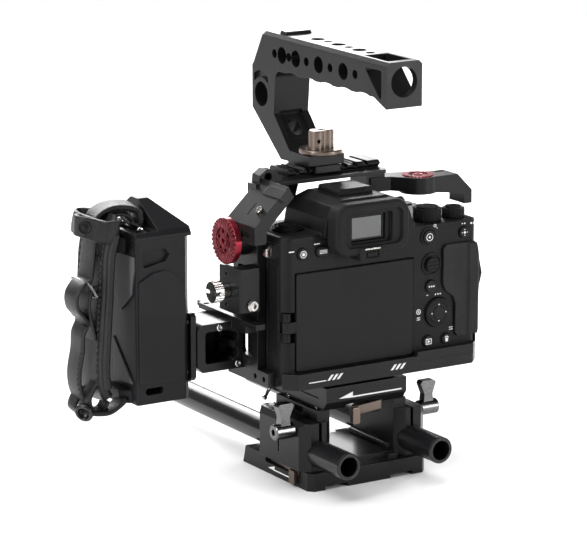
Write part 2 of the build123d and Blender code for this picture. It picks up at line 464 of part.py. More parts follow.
def camera_front_shell():
    half = box(-200, 200, CAM_SPLIT, 100, 0, 300)
    grip_plan = [(GRIP_IN, CAM_FRONT - 6), (GRIP_IN + 2.5, 34.0), (GRIP_IN + 9, GRIP_FRONT),
                 (CAM_R - 6, GRIP_FRONT), (CAM_R + 1.4, 35.0), (CAM_R, CAM_FRONT - 6)]
    inner_grip = [(GRIP_IN + 2, CAM_FRONT - 6), (GRIP_IN + 4.5, 33.5), (GRIP_IN + 10, GRIP_FRONT - 2),
                  (CAM_R - 7, GRIP_FRONT - 2), (CAM_R - 0.8, 34.2), (CAM_R - 2, CAM_FRONT - 6)]
    shell = prism_z(camera_plan(), CAM_LOW, CAM_SHOULDER, CORNER_R) & half
    shell += prism_z(grip_plan, CAM_LOW, GRIP_TOP, 1.5)
    cavity = prism_z(camera_plan(WALL), CAM_LOW + WALL, CAM_SHOULDER + 1) & half
    cavity += prism_z(inner_grip, CAM_LOW + WALL, GRIP_TOP - 2.5)
    shell -= cavity
    shell += rod_z(0, 0, 6.0, CAM_LOW, CAM_LOW + 6.0) & half
    shell -= rod_z(0, 0, 3.175 + SEAT, CAM_LOW - 1, CAM_LOW + 4.6)
    boss = rod_y(0, LENS_Z, MOUNT_R + 3.0, CAM_FRONT - 2, FLANGE_Y - 3.0)
    boss += rod_y(0, LENS_Z, THROAT_R + 3.0, SENSOR_Y + 2, CAM_FRONT)
    shell += boss & box(-60, 60, 0, 60, CAM_LOW, 200)
    shell -= rod_y(0, LENS_Z, THROAT_R + 0.3, SENSOR_Y - 2, FLANGE_Y + 1)
    shell -= rod_y(RELEASE_X, RELEASE_Z, RELEASE_R + WELL_GAP, CAM_FRONT - 4, FLANGE_Y + 3)
    shell += rod_y(RELEASE_X, RELEASE_Z, 7.0, CAM_FRONT - 5, CAM_FRONT - 1) - rod_y(
        RELEASE_X, RELEASE_Z, RELEASE_R + WELL_GAP, CAM_FRONT - 3, FLANGE_Y + 3)
    shell -= rod_z(FRONT_DIAL_X, FRONT_DIAL_Y, 8.4, FRONT_DIAL_Z - GAP, FRONT_DIAL_Z + 4.0 + GAP)
    shell -= rod_z(SHUTTER_X, SHUTTER_Y, 6.1, GRIP_TOP - 1.6, GRIP_TOP + 1)
    shell += rod_z(FRONT_DIAL_X, FRONT_DIAL_Y, FRONT_DIAL_PIN_R, FRONT_DIAL_Z - 2.0, GRIP_TOP - 2.0)
    return shell


def camera_top_cover():
    """Deck with a lower right part for the dials, and the viewfinder hump, hollow from the back."""
    deck = prism_z(camera_plan(), CAM_SHOULDER, DECK, CORNER_R)
    deck = fillet(deck.edges().group_by(Axis.Z)[-1], 1.8)
    deck -= box(34.0, CAM_R + 1, CAM_REAR - 1, CAM_FRONT + 1, DIAL_DECK, DECK + 1)
    deck += prism_z([(GRIP_IN, CAM_FRONT - 4), (GRIP_IN + 3, 22.4), (CAM_R - 2, 22.4),
                     (CAM_R, CAM_FRONT - 4)], CAM_SHOULDER, DIAL_DECK, 1.0)
    deck -= prism_z(camera_plan(WALL), CAM_SHOULDER - 1, DECK - WALL) & box(-100, 32.0, -100, 100, 100, 200)
    outer = [(-26.6, DECK - 2), (-25.0, 150.0), (-21.6, 156.8), (-15.0, HUMP_TOP), (13.0, HUMP_TOP),
             (19.0, 158.0), (28.5, 150.0), (32.0, DECK - 2)]
    inner = [(-24.2, DECK - 2.5), (-22.8, 149.6), (-19.8, 155.4), (-14.0, 157.8), (12.0, 157.8),
             (17.5, 156.2), (26.0, 149.2), (29.0, DECK - 2.5)]
    hump = prism_y(outer, CAM_REAR - 3.0, 13.0, 1.6)
    hump -= prism_x([(6.0, 161.0), (14.0, 161.0), (14.0, 147.0)], -60, 60)        # sloped prism front
    cover = deck + hump
    # stepped boss, left shoulder
    for radius, rise in ((8.8, 1.4), (7.6, 2.4), (5.6, 3.2)):
        cover += rod_z(LEFT_RING_X, LEFT_RING_Y, radius, DECK - 1, DECK + rise)
    cover -= prism_y(inner, CAM_REAR - 0.5, 2.0)
    cover -= box(WIN_L, WIN_R, CAM_REAR - 4, CAM_REAR + 1, WIN_LOW, WIN_HIGH)
    cover -= rod_x(-17.0, 151.0, 4.4, 24.4, 40.0) & box(26.0, 60, -60, 60, 100, 200)
    cover -= rod_y(0, LENS_Z, MOUNT_R + 3.0, CAM_FRONT - 2, CAM_FRONT + 20)
    for x, y, r, top in (MODE_DIAL, EXPOSURE_DIAL):
        cover -= rod_z(x, y, r + GAP, DIAL_DECK - 0.8, DIAL_DECK + 1)
        cover += rod_z(x, y, DIAL_PIN_R, DIAL_DECK - 1.2, top - 1.4)
    return cover


def eyecup():
    """Soft surround with two stepped rims round the window, and the release latch under it."""
    cup = prism_y([(-24.4, 130.0), (23.0, 130.0), (23.0, 158.8), (-24.4, 158.8)], EYE_REAR, CAM_REAR - 3.0,
                  8.0)
    cup = fillet(cup.faces().sort_by(Axis.Y)[0].outer_wire().edges(), 2.4)
    cup -= prism_y([(-19.0, 134.6), (18.4, 134.6), (18.4, 154.8), (-19.0, 154.8)], EYE_REAR - 1,
                   EYE_REAR + 1.8, 4.5)
    cup -= prism_y([(-14.6, 135.9), (12.6, 135.9), (12.6, 152.6), (-14.6, 152.6)], EYE_REAR, EYE_REAR + 4.2,
                   2.0)
    cup -= box(WIN_L - 0.4, WIN_R + 0.4, EYE_REAR, CAM_REAR, WIN_LOW - 0.4, WIN_HIGH + 0.4)
    latch = prism_y([(-9.8, 126.6), (5.8, 126.6), (5.8, 134.0), (-9.8, 134.0)], EYE_REAR - 0.8,
                    CAM_REAR - 3.0, 1.2)
    latch -= box(-6.4, 2.4, EYE_REAR - 1, EYE_REAR, 128.4, 132.4)
    return cup + latch + box(-5.0, 1.0, EYE_REAR - 0.7, EYE_REAR + 1, 129.4, 131.4)


def viewfinder_window():
    return box(WIN_L + 0.05, WIN_R - 0.05, EYE_REAR + 6.0, EYE_REAR + 8.0, WIN_LOW + 0.05, WIN_HIGH - 0.05)


def dioptre_dial():
    dial = Pos(27.0, -17.0, 151.0) * Rot(0, 90, 0) * knurled(3.9, 4.6, 18, 0.35)
    return dial & box(20, 40, -40, 0, 100, 200)


def shoe_cover():
    cover = box(-11.0, 10.8, -19.2, 2.0, HUMP_TOP, 163.2)
    cover = chamfer(cover.edges().group_by(Axis.Z)[-1], 0.8)
    return cover - box(-5.0, 5.0, -20, -18.6, 161.0, 162.2)


def monitor_panel():
    panel = box(PANEL_L, PANEL_R, PANEL_REAR, PANEL_REAR + PANEL_THICK, PANEL_LOW, PANEL_HIGH)
    panel = chamfer(panel.edges().filter_by(Axis.Y), 0.8)
    panel = chamfer(panel.edges().group_by(Axis.Y)[0], 0.35)
    low, high = HINGE_LOW + EAR + 0.5, HINGE_HIGH - EAR - 0.5
    lug = box(HINGE_X, PANEL_L + 1, HINGE_Y - HINGE_R, HINGE_Y + 1.0, low, high)
    lug += rod_z(HINGE_X, HINGE_Y, HINGE_R, low, high)
    return panel + lug - rod_z(HINGE_X, HINGE_Y, HINGE_PIN + FIT, low - 1, high + 1)


def monitor_hinge():
    """Two ears and the pin that the panel's lug turns on, let into the rear shell."""
    hinge = rod_z(HINGE_X, HINGE_Y, HINGE_PIN, HINGE_LOW, HINGE_HIGH)
    for low in (HINGE_LOW, HINGE_HIGH - EAR):
        hinge += rod_z(HINGE_X, HINGE_Y, HINGE_R, low, low + EAR)
        hinge += box(HINGE_X - HINGE_R, HINGE_X + HINGE_R, HINGE_Y, PANEL_REAR + PANEL_THICK + GAP, low,
                     low + EAR)
    return hinge


def sensor():
    return box(-17.8, 17.8, SENSOR_Y - 2.0, SENSOR_Y, LENS_Z - 11.9, LENS_Z + 11.9) + box(
        -24.0, 24.0, SENSOR_Y - 6.0, SENSOR_Y - 2.0, LENS_Z - 19.0, LENS_Z + 19.0)


def lens_mount_ring():
    ring = rod_y(0, LENS_Z, MOUNT_R, FLANGE_Y - 3.0, FLANGE_Y) - rod_y(0, LENS_Z, THROAT_R, 0, 60)
    for turn in (20, 110, 200, 290):
        ring -= rod_y(26.6 * cos(radians(turn)), LENS_Z + 26.6 * sin(radians(turn)), 1.1, FLANGE_Y - 1.0,
                      FLANGE_Y + 1)
    return ring


def lens_release_button():
    return chamfer(rod_y(RELEASE_X, RELEASE_Z, RELEASE_R, CAM_FRONT - 1.6,
                         CAM_FRONT + 3.4).edges().group_by(Axis.Y)[-1], 0.6)


def grip_rubber():
    outer = [(GRIP_IN - 0.8, CAM_FRONT + 0.2), (GRIP_IN + 1.7, 34.4), (GRIP_IN + 8.6, GRIP_FRONT + 0.9),
             (CAM_R - 5.6, GRIP_FRONT + 0.9), (CAM_R + 2.3, 35.2), (CAM_R + 0.9, -24.0),
             (CAM_R + 0.05, -24.0)]
    skin = prism_z(outer, CAM_LOW + 2, 122.0)
    grip_plan = [(GRIP_IN, CAM_FRONT - 6), (GRIP_IN + 2.5, 34.0), (GRIP_IN + 9, GRIP_FRONT),
                 (CAM_R - 6, GRIP_FRONT), (CAM_R + 1.4, 35.0), (CAM_R, CAM_FRONT - 6)]
    skin -= prism_z(grip_plan, 0, 200, 1.5)
    return skin - prism_z([(-60, -40), (CAM_R + 0.03, -40), (CAM_R + 0.03, CAM_FRONT + 0.2),
                           (-60, CAM_FRONT + 0.2)], 0, 200)


def thumb_rest():
    shape = [(54.6, 126.6), (52.6, 124.6), (52.6, 104.8), (54.4, 100.6), (59.4, 97.0), (61.0, 92.6),
             (61.0, 76.0), (62.4, 73.6), (74.6, 73.6), (76.0, 76.0), (76.2, 98.0), (78.6, 108.0),
             (76.2, 119.0), (74.0, 126.6)]
    pad = prism_y(shape, CAM_REAR - 1.6, CAM_REAR, 0.8)
    bulge = prism_z([(66.0, CAM_REAR), (70.0, CAM_REAR - 2.6), (75.0, CAM_REAR - 3.0), (78.6, CAM_REAR - 0.4),
                     (78.6, CAM_REAR)], 74.0, 126.0)
    return pad + (bulge & prism_y(shape, CAM_REAR - 5, CAM_REAR, 0.8))


def power_lever():
    ring = rod_z(SHUTTER_X, SHUTTER_Y, 8.4, GRIP_TOP + GAP, GRIP_TOP + 2.6)
    ring += prism_z([(SHUTTER_X - 3, SHUTTER_Y + 6), (SHUTTER_X + 3, SHUTTER_Y + 6),
                     (SHUTTER_X + 1.6, SHUTTER_Y + 10.4), (SHUTTER_X - 1.6, SHUTTER_Y + 10.4)],
                    GRIP_TOP + GAP, GRIP_TOP + 2.6)
    return ring - rod_z(SHUTTER_X, SHUTTER_Y, SHUTTER_R + 0.1, 100, 200)


def shutter_button():
    body = rod_z(SHUTTER_X, SHUTTER_Y, SHUTTER_R, GRIP_TOP - 0.4, GRIP_TOP + 4.0)
    return fillet(body.edges().group_by(Axis.Z)[-1], 1.0)


def deck_dial(x, y, radius, top, teeth):
    base = DIAL_DECK - 0.5
    dial = Pos(x, y, base) * knurled(radius, top - 1.0 - base, teeth, 0.4)
    dial += rod_z(x, y, radius - 1.6, top - 1.2, top)
    return dial - rod_z(x, y, DIAL_PIN_R + FIT, 100, top - 1.0)


def front_dial():
    dial = Pos(FRONT_DIAL_X, FRONT_DIAL_Y, FRONT_DIAL_Z) * knurled(7.8, 4.0, 32, 0.4)
    return dial - rod_z(FRONT_DIAL_X, FRONT_DIAL_Y, FRONT_DIAL_PIN_R + FIT, 100, 200)


def round_button(x, z, radius, proud=1.4):
    button = rod_y(x, z, radius, CAM_REAR - proud, CAM_REAR + 1.6)
    return fillet(button.edges().group_by(Axis.Y)[0], 0.5)


def menu_button():
    body = facing_rear(Pos(0, 0, -1.6) * prism_z(rect(-4.1, 4.1, -2.7, 2.7), 0, 3.0, 2.6), MENU_X, CAM_REAR,
                       TOP_ROW_Z)
    return fillet(body.edges().group_by(Axis.Y)[0], 0.4)


def control_wheel():
    wheel = facing_rear(Pos(0, 0, -2.6) * knurled(WHEEL_R, 4.2, 48, 0.3), WHEEL_X, CAM_REAR, WHEEL_Z)
    wheel -= rod_y(WHEEL_X, WHEEL_Z, WHEEL_HUB_R + 0.1, -60, 0)
    return wheel


def joystick():
    pad = rod_y(JOY_X, JOY_Z, 4.2, CAM_REAR - 2.4, CAM_REAR - 0.9)
    pad = chamfer(pad.edges().group_by(Axis.Y)[0], 0.5)
    for z in (-2.0, 0.0, 2.0):
        pad -= box(JOY_X - 4, JOY_X + 4, CAM_REAR - 3, CAM_REAR - 2.1, JOY_Z + z - 0.3, JOY_Z + z + 0.3)
    stem = rod_y(JOY_X, JOY_Z, JOY_BALL_R, CAM_REAR - 1.0, CAM_REAR + 2.0)
    # tilting trunnion
    return pad + stem + rod_x(CAM_REAR + 2.0, JOY_Z, JOY_BALL_R, JOY_X - 1.5, JOY_X + 1.5)


def port_door():
    door = box(CAM_L, CAM_L + 1.2, DOOR_REAR, DOOR_PIN_Y, DOOR_LOW, DOOR_HIGH)
    door += rod_z(DOOR_PIN_X, DOOR_PIN_Y, 0.95, DOOR_LOW, DOOR_HIGH)
    return door - rod_z(DOOR_PIN_X, DOOR_PIN_Y, DOOR_PIN_R + FIT, DOOR_LOW - 1, DOOR_HIGH + 1)


def strap_lugs():
    """Trapezoid strap eyes on both flanks of the body."""
    lugs = []
    for face, out in ((CAM_L, -1), (CAM_R, 1)):
        eye = prism_y([(face, 128.8), (face, 136.4), (face + 4.8 * out, 134.6), (face + 4.8 * out, 130.6)],
                      -15.2, -13.0)
        hole = prism_y([(face + 1.6 * out, 130.6), (face + 1.6 * out, 134.6), (face + 3.4 * out, 133.9),
                        (face + 3.4 * out, 131.3)], -16, -12)
        lugs.append(eye - hole)
    return Compound(children=lugs)


# ---------------------------------------------------------------- top handle
def top_handle():
    """Front column and slanted leg, straight grip with finger scallops, boxed rear end and rail foot."""
    side = [(58.9, TH_TOP), (TH_REAR, TH_TOP - 0.8), (TH_REAR, 214.4), (-53.4, TH_LOW), (46.0, TH_LOW),
            (48.2, 195.0), (31.5, FOOT_TOP), (FOOT_REAR, FOOT_TOP), (FOOT_REAR, FOOT_LOW), (40.6, 170.4),
            (TH_FRONT, 195.8), (TH_FRONT, 219.6), (69.6, 221.4)]
    body = prism_x(side, -TH_HALF, TH_HALF)
    inner = body.edges().filter_by(Axis.X).filter_by(lambda e: abs(e.center().Y - 46.0) < 0.5
                                                     and e.center().Z > 210)
    body = fillet(inner, 5.0)
    body = chamfer(body.edges().filter_by(lambda e: abs(e.center().Z - (TH_TOP - 0.4)) < 1.0
                                          and e.length > 60), 2.0)
    under = box(-TH_HALF - 1, TH_HALF + 1, -52.0, 40.5, TH_LOW - 1, TH_LOW + SCALLOP_DEPTH)
    for i in range(SCALLOPS):                                  # finger scallops under the grip
        body -= under & rod_x(-43.0 + SCALLOP_STEP * i, TH_LOW + SCALLOP_DEPTH - SCALLOP_R, SCALLOP_R,
                              -TH_HALF - 1, TH_HALF + 1)
    for y, r in SIDE_HOLES:
        body -= rod_x(y, SIDE_HOLE_Z, r, -TH_HALF - 1, TH_HALF + 1)
    for y, r in TOP_HOLES:
        body -= rod_z(0, y, r, SIDE_HOLE_Z - 2, TH_TOP + 1)
    body -= prism_x([(-44.0, 234.6), (-61.0, 234.6), (-61.0, 217.4)], -TH_HALF - 1, TH_HALF + 1, 1.2)
    body -= prism_z(rect(-7.4, 7.4, -61.0, -38.0), 234.0, TH_TOP + 1, 1.0)
    body -= rod_y(0, 228.2, 8.2, TH_REAR - 1, -58.0)
    body -= rod_x(61.3, 204.2, 7.0, -TH_HALF - 1, TH_HALF + 1)
    for x in (-TH_HALF, TH_HALF):                              # curved pocket over the column hole
        pocket = rod_x(61.3, 204.2, 13.4, x - 1.8, x + 1.8) - rod_x(61.3, 204.2, 9.6, x - 3, x + 3)
        body -= pocket & box(-20, 20, 54.0, 69.0, 211.0, 230.0)
    leg = Pos(0, 48.0, 183.0) * Rot(-45, 0, 0)
    body -= leg * prism_y([(-3.6, -5.6), (3.6, -5.6), (3.6, 5.6), (-3.6, 5.6)], -30, 30, 3.4)
    body -= leg * prism_y([(-8.0, -8.4), (8.0, -8.4), (8.0, 9.4), (-8.0, 9.4)], -30, -6.0, 1.6)
    body += shoe_rails()
    body += box(-8.0, 9.0, 17.0, NATO_REAR + NATO_WIDTH + 4.6, PLATE_TOP + 0.6, FOOT_LOW + 1)
    body -= prism_x(nato_section(GAP), -TH_HALF - 1, TH_HALF + 1)
    body -= box(-TH_HALF - 1, TH_HALF + 1, 0, NATO_REAR + 6.0, PLATE_TOP, FOOT_LOW)
    body -= rod_z(0, KNOB_Y, 2.6 + FIT, FOOT_LOW - 2, FOOT_TOP + 1)
    return body


def shoe_rails():
    """Cold shoe at the front of the grip's top: a raised stop and two low rails."""
    stop = prism_x([(47.0, TH_TOP - 1.2), (38.0, TH_TOP - 1.2), (40.6, TH_TOP + 1.6), (46.0, TH_TOP + 1.9)],
                   -8.0, 8.0)
    return stop


def handle_fittings():
    """Two cross-slotted screw heads on the front of the slanted leg."""
    heads = []
    for y, z in ((57.6, 183.9), (45.6, 173.7)):
        screw = Cylinder(3.4, 2.6) - Pos(0, 0, 1.3) * Box(5.0, 0.9, 1.4)
        heads.append(Pos(0, y, z) * Rot(0, 0, 90) * Rot(0, 130, 0) * Pos(0, 0, 1.36) * screw)
    return Compound(children=heads)


def handle_jaw():
    """Rear clamping jaw under the foot; it backs off as the thumb screw opens."""
    jaw = box(-7.0, 9.0, FOOT_REAR, NATO_REAR + 5.0, PLATE_TOP + 0.6, FOOT_LOW - 0.1 - 0.2)
    jaw = chamfer(jaw.edges().filter_by(Axis.X).group_by(Axis.Y)[0], 0.5)
    jaw -= prism_x(nato_section(GAP), -20, 20)
    return jaw - rod_z(0, KNOB_Y, 4.0, 160, 180)


def handle_thumb_screw():
    """Flanged thumb screw with a waisted two-lobed grip and a tommy-bar hole, turning about Z."""
    shaft = rod_z(0, KNOB_Y, 2.6, FOOT_LOW - 0.8, FOOT_TOP + 3)
    flange = fillet(rod_z(0, KNOB_Y, 12.4, FOOT_TOP + GAP,
                          FOOT_TOP + 3.2).edges().filter_by(GeomType.CIRCLE), 0.8)
    low, high = FOOT_TOP + 3.0, FOOT_TOP + 13.4
    grip = rod_z(0, KNOB_Y, 3.7, low, high)
    for side in (-1, 1):
        lobe = rod_z(side * 3.6, KNOB_Y + side * 0.6, 4.4, low, high)
        grip += chamfer(lobe.edges().group_by(Axis.Z)[-1], 0.5)
    grip -= rod_y(-4.4, low + 4.6, 1.1, KNOB_Y - 20, KNOB_Y + 20)
    grip -= extrude(Plane.XY.offset(high - 2.0) * Pos(0, KNOB_Y) * RegularPolygon(2.4, 6), 3)
    return shaft + flange + grip


# ---------------------------------------------------------------- side handle
def side_handle_shell():
    """Upright hollow grip with a chamfered inner edge and a forward-rising top."""
    plan = [(SH_L, SH_REAR), (SH_R - 4.0, SH_REAR), (SH_R, SH_REAR + 4.0), (SH_R, SH_FRONT - 6.0),
            (SH_R - 6.0, SH_FRONT), (SH_L + 8.0, SH_FRONT), (SH_L, SH_FRONT - 9.0)]
    body = prism_z(plan, SH_LOW, SH_SHOULDER, 1.6)
    body -= box(SH_L + 3, SH_R - 3, SH_REAR + 3.2, SH_FRONT - 3, SH_LOW + 3, SH_SHOULDER + 1)
    # oval port
    body -= prism_y([(-116.0, 56.4), (-106.6, 56.4), (-105.6, 58.4), (-106.6, 60.4), (-116.0, 60.4),
                     (-117.0, 58.4)], SH_REAR - 1, SH_REAR + 5)
    body -= prism_y([(-117.6, 127.0), (-104.0, 129.6), (-101.0, 133.0), (-104.0, 136.4), (-117.6, 136.4)],
                    SH_REAR - 1, SH_REAR + 2.4, 1.2)           # thumb recess
    foot = prism_z([(SH_L + 2, SH_REAR + 5), (SH_L + 2, SH_FRONT - 12), (SH_L - 5, SH_FRONT - 16),
                    (SH_L - 5, SH_REAR + 12)], SH_LOW, SH_LOW + 7.0, 1.0)
    horn = prism_z([(SH_L + 2, SH_REAR + 10), (SH_L + 2, SH_FRONT - 10), (SH_L - 4, SH_FRONT - 14),
                    (SH_L - 4, SH_REAR + 14)], 134.0, SH_SHOULDER, 1.0)
    return body + foot + horn


def side_handle_cap():
    """Sloped cap, low at the back and high at the front; its outer part is a pocket with the strap's bar."""
    side = [(SH_REAR, SH_SHOULDER), (SH_FRONT, SH_SHOULDER), (SH_FRONT, SH_CAP - 8.0),
            (SH_FRONT - 12.0, SH_CAP), (SH_FRONT - 20.0, SH_CAP), (SH_REAR + 2.0, SH_SHOULDER + 4.6),
            (SH_REAR, SH_SHOULDER + 1.6)]
    cap = prism_x(side, SH_L, SH_R)
    slope = [(SH_R + 1, SH_SHOULDER + 4.0), (SH_R + 1, SH_CAP + 5), (SH_R - 17.0, SH_CAP + 5),
             (SH_R - 13.0, SH_CAP), (SH_R - 3.0, SH_SHOULDER + 8.0)]
    cap -= prism_y(slope, SH_REAR - 1, SH_FRONT + 1)
    cap -= prism_z([(SH_R + 1, SH_FRONT - 6.0), (SH_R - 6.0, SH_FRONT + 1), (SH_R + 1, SH_FRONT + 1)], 130,
                   170)
    cap -= box(SH_L - 1, CAP_STEP_X, SH_REAR - 1, SH_FRONT + 1, SH_SHOULDER + 4.0, SH_CAP + 1)
    cap -= box(SH_L + 3.0, CAP_STEP_X - 2.0, SH_REAR + 4.0, SH_FRONT - 6.0, SH_SHOULDER + 1.0, SH_CAP)
    cap -= box(CAP_STEP_X + 3.0, SH_R - 4.0, SH_REAR + 3.0, SH_FRONT - 4.0, SH_SHOULDER - 1,
               SH_SHOULDER + 2.0)
    return cap + rod_y(STRAP_BAR_X, SH_SHOULDER + 3.6, 1.1, SH_REAR + 3, SH_FRONT - 5)


def side_handle_cover():
    """Raised battery cover on the rear face, round at the top right and stepped at the foot."""
    shape = [(-121.0, 63.4), (-93.2, 63.4), (-93.2, 90.0), (-92.4, 96.0), (-92.4, 108.0), (-94.0, 116.0),
             (-98.6, 122.0), (-105.0, 124.8), (-112.0, 124.0), (-121.0, 119.4)]
    return prism_y(shape, SH_REAR - 1.3, SH_REAR, 1.2)


def side_handle_panels():
    """Lighter inlays on the outer face: arrow-ended upper panel and triangular lower one."""
    upper = prism_x([(SH_REAR + 1.4, 133.4), (SH_REAR + 22.0, 133.4), (SH_REAR + 24.0, 130.0),
                     (SH_REAR + 24.0, 110.0), (SH_REAR + 17.0, 101.5), (SH_REAR + 4.4, 112.0),
                     (SH_REAR + 1.4, 126.0)], SH_L - 0.8, SH_L, 0.5)
    lower = prism_x([(SH_REAR + 4.0, 62.6), (SH_REAR + 26.0, 62.6), (SH_REAR + 26.0, 86.0)], SH_L - 0.8,
                    SH_L, 0.5)
    return Compound(children=[upper, lower])


def handle_bracket():
    """Bracket from the cage's left side to the side handle: long top bar, open block and dovetail bed."""
    bar = box(-63.0, -57.3, -18.0, 50.0, BRACKET_TOP, BRACKET_TOP + 3.0)
    bar -= prism_z([(-63.1, 51), (-63.1, 44.0), (-60.4, 46.0), (-60.4, 51)], 80, 100)
    root = box(-63.0, -55.9, -7.0, 18.0, BRACKET_TOP - 4.0, BRACKET_TOP + 3.0)
    block = box(-84.4, -55.9, SH_REAR, 36.0, 64.0, BRACKET_TOP)
    block = chamfer(block.edges().filter_by(Axis.Y).group_by(Axis.X)[0], 3.0)
    block -= prism_y(rect(-79.6, -62.0, 68.6, 86.6), SH_REAR - 1, 30.0, 2.0)
    for z in (73.0, 82.2):                                     # clamp notches in the pocket's wall
        block -= rod_y(-61.6, z, 3.0, SH_REAR - 1, 22.0)
    bed = [(-84.5, BED_REAR + 2.0), (-84.5, BED_FRONT - 2.0), (-82.2, BED_FRONT), (-82.2, BED_REAR)]
    block -= prism_z(bed, 60, 95)
    bracket = bar + root + block
    for y in (-12.0, 40.0):
        bracket -= rod_z(-60.2, y, 1.6, 88, 95)
    return bracket


def side_handle_rail():
    """Upright rail screwed to the handle's inner face; it drops into the bracket's bed."""
    plate = box(SH_R, SH_R + 3.2, SH_REAR + 1.0, 40.0, 60.0, 98.0)
    plate = chamfer(plate.edges().filter_by(Axis.X), 2.0)
    slope, depth = 2.0 / 2.3, GAP + 0.05
    tongue = prism_z([(SH_R + 3.0, BED_REAR + 2.0 + depth + GAP * slope),
                      (SH_R + 3.0, BED_FRONT - 2.0 - depth - GAP * slope), (-84.4, BED_FRONT - 2.0 - depth),
                      (-82.2 - GAP, BED_FRONT - depth - GAP * slope),
                      (-82.2 - GAP, BED_REAR + depth + GAP * slope), (-84.4, BED_REAR + 2.0 + depth)], 64.0,
                     94.0)
    rail = plate + tongue
    for z in (64.6, 78.0, 93.0):
        rail -= rod_x(12.4, z, 1.3, SH_R - 1, SH_R + 5)
    return rail


def hand_strap():
    """Padded leather band bowed round the side handle, from under its foot to the cap's pocket."""
    left = SH_L - 8.5
    top = SH_CAP + 4.0
    outer = [(CAP_STEP_X - 0.6, SH_SHOULDER + 5.6), (CAP_STEP_X - 0.6, SH_CAP), (CAP_STEP_X - 3.0, top),
             (-128.0, top), (left - STRAP_T - 2, SH_CAP - 6.0), (left - STRAP_T - 4, 130.0),
             (left - STRAP_T - 4, 80.0), (left - STRAP_T - 2, 58.0), (-128.0, 47.6), (-118.0, 47.2)]
    inner = [(-118.0, 51.2 - GAP), (-127.4, 51.4 - GAP), (left - 2, 61.0), (left - 4, 81.0),
             (left - 4, 129.0), (left - 2, SH_CAP - 8.0), (-127.2, top - STRAP_T),
             (CAP_STEP_X - 4.6, top - STRAP_T), (CAP_STEP_X - 4.6, SH_SHOULDER + 5.6)]
    return prism_y(outer + inner, STRAP_Y0, STRAP_Y1)


# ---------------------------------------------------------------- whole rig
def build():
    nodes = {
        "base_plate": base_plate(),
        "base_lock_lever": base_lock_lever(),
        "rod_clamp_body": rod_clamp_body(),
        "left_rod": rod(-1),
        "right_rod": rod(1),
        "right_clamp_lever": clamp_lever(),
        "left_clamp_lever": mirror_x(clamp_lever()),
        "qr_receiver": qr_receiver(),
        "qr_lock_lever": qr_lock_lever(),
        "qr_plate": qr_plate(),
        "cage_base": cage_base(),
        "cage_side_frame": cage_side_frame(),
        "cage_top_plate": cage_top_plate(),
        "cage_right_arm": cage_right_arm(),
        "rosettes": rosettes(),
        "cable_clamp": cable_clamp(),
        "cable_clamp_knob": cable_clamp_knob(),
        "cage_screws": cage_screws(),
        "camera_rear_shell": camera_rear_shell(),
        "camera_front_shell": camera_front_shell(),
        "camera_top_cover": camera_top_cover(),
        "eyecup": eyecup(),
        "viewfinder_window": viewfinder_window(),
        "dioptre_dial": dioptre_dial(),
        "shoe_cover": shoe_cover(),
        "monitor_panel": monitor_panel(),
        "monitor_hinge": monitor_hinge(),
        "image_sensor": sensor(),
        "lens_mount_ring": lens_mount_ring(),
        "lens_release_button": lens_release_button(),
        "grip_rubber": grip_rubber(),
        "thumb_rest": thumb_rest(),
        "power_lever": power_lever(),
        "shutter_button": shutter_button(),
        "mode_dial": deck_dial(*MODE_DIAL, 40),
        "exposure_dial": deck_dial(*EXPOSURE_DIAL, 36),
        "front_dial": front_dial(),
        "menu_button": menu_button(),
        "control_wheel": control_wheel(),
        "wheel_button": round_button(WHEEL_X, WHEEL_Z, WHEEL_HUB_R, 2.0),
        "joystick": joystick(),
        "port_door": port_door(),
        "strap_lugs": strap_lugs(),
        "top_handle": top_handle(),
        "handle_fittings": handle_fittings(),
        "handle_jaw": handle_jaw(),
        "handle_thumb_screw": handle_thumb_screw(),
        "side_handle_shell": side_handle_shell(),
        "side_handle_cap": side_handle_cap(),
        "side_handle_cover": side_handle_cover(),
        "side_handle_panels": side_handle_panels(),
        "handle_bracket": handle_bracket(),
        "side_handle_rail": side_handle_rail(),
        "hand_strap": hand_strap(),
    }
    for name, (x, z, radius) in BUTTONS.items():
        nodes[name] = round_button(x, z, radius)
    return nodes


os.makedirs("parts", exist_ok=True)
for node, shape in build().items():
    export_step(shape, f"parts/{node}.step")
    print(f"{node:22s} {shape.volume:10.1f} mm3")
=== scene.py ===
import math
import random

import bmesh
import bpy
from mathutils import Matrix, Vector


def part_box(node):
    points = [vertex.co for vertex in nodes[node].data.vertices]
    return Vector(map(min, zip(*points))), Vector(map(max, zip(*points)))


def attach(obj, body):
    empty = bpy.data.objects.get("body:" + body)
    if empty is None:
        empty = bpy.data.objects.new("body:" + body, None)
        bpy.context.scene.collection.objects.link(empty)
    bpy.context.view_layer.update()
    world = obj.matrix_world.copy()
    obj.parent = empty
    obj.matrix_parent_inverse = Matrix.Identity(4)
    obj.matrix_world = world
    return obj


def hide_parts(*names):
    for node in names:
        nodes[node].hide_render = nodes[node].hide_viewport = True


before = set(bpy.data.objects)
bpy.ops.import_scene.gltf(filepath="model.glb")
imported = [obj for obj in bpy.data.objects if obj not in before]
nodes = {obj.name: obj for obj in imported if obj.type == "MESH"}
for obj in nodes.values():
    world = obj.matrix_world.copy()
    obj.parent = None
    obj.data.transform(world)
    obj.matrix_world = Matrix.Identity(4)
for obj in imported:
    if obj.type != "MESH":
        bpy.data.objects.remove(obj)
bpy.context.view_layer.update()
MM = 0.001


def mm(*p):
    return Vector(p) * MM


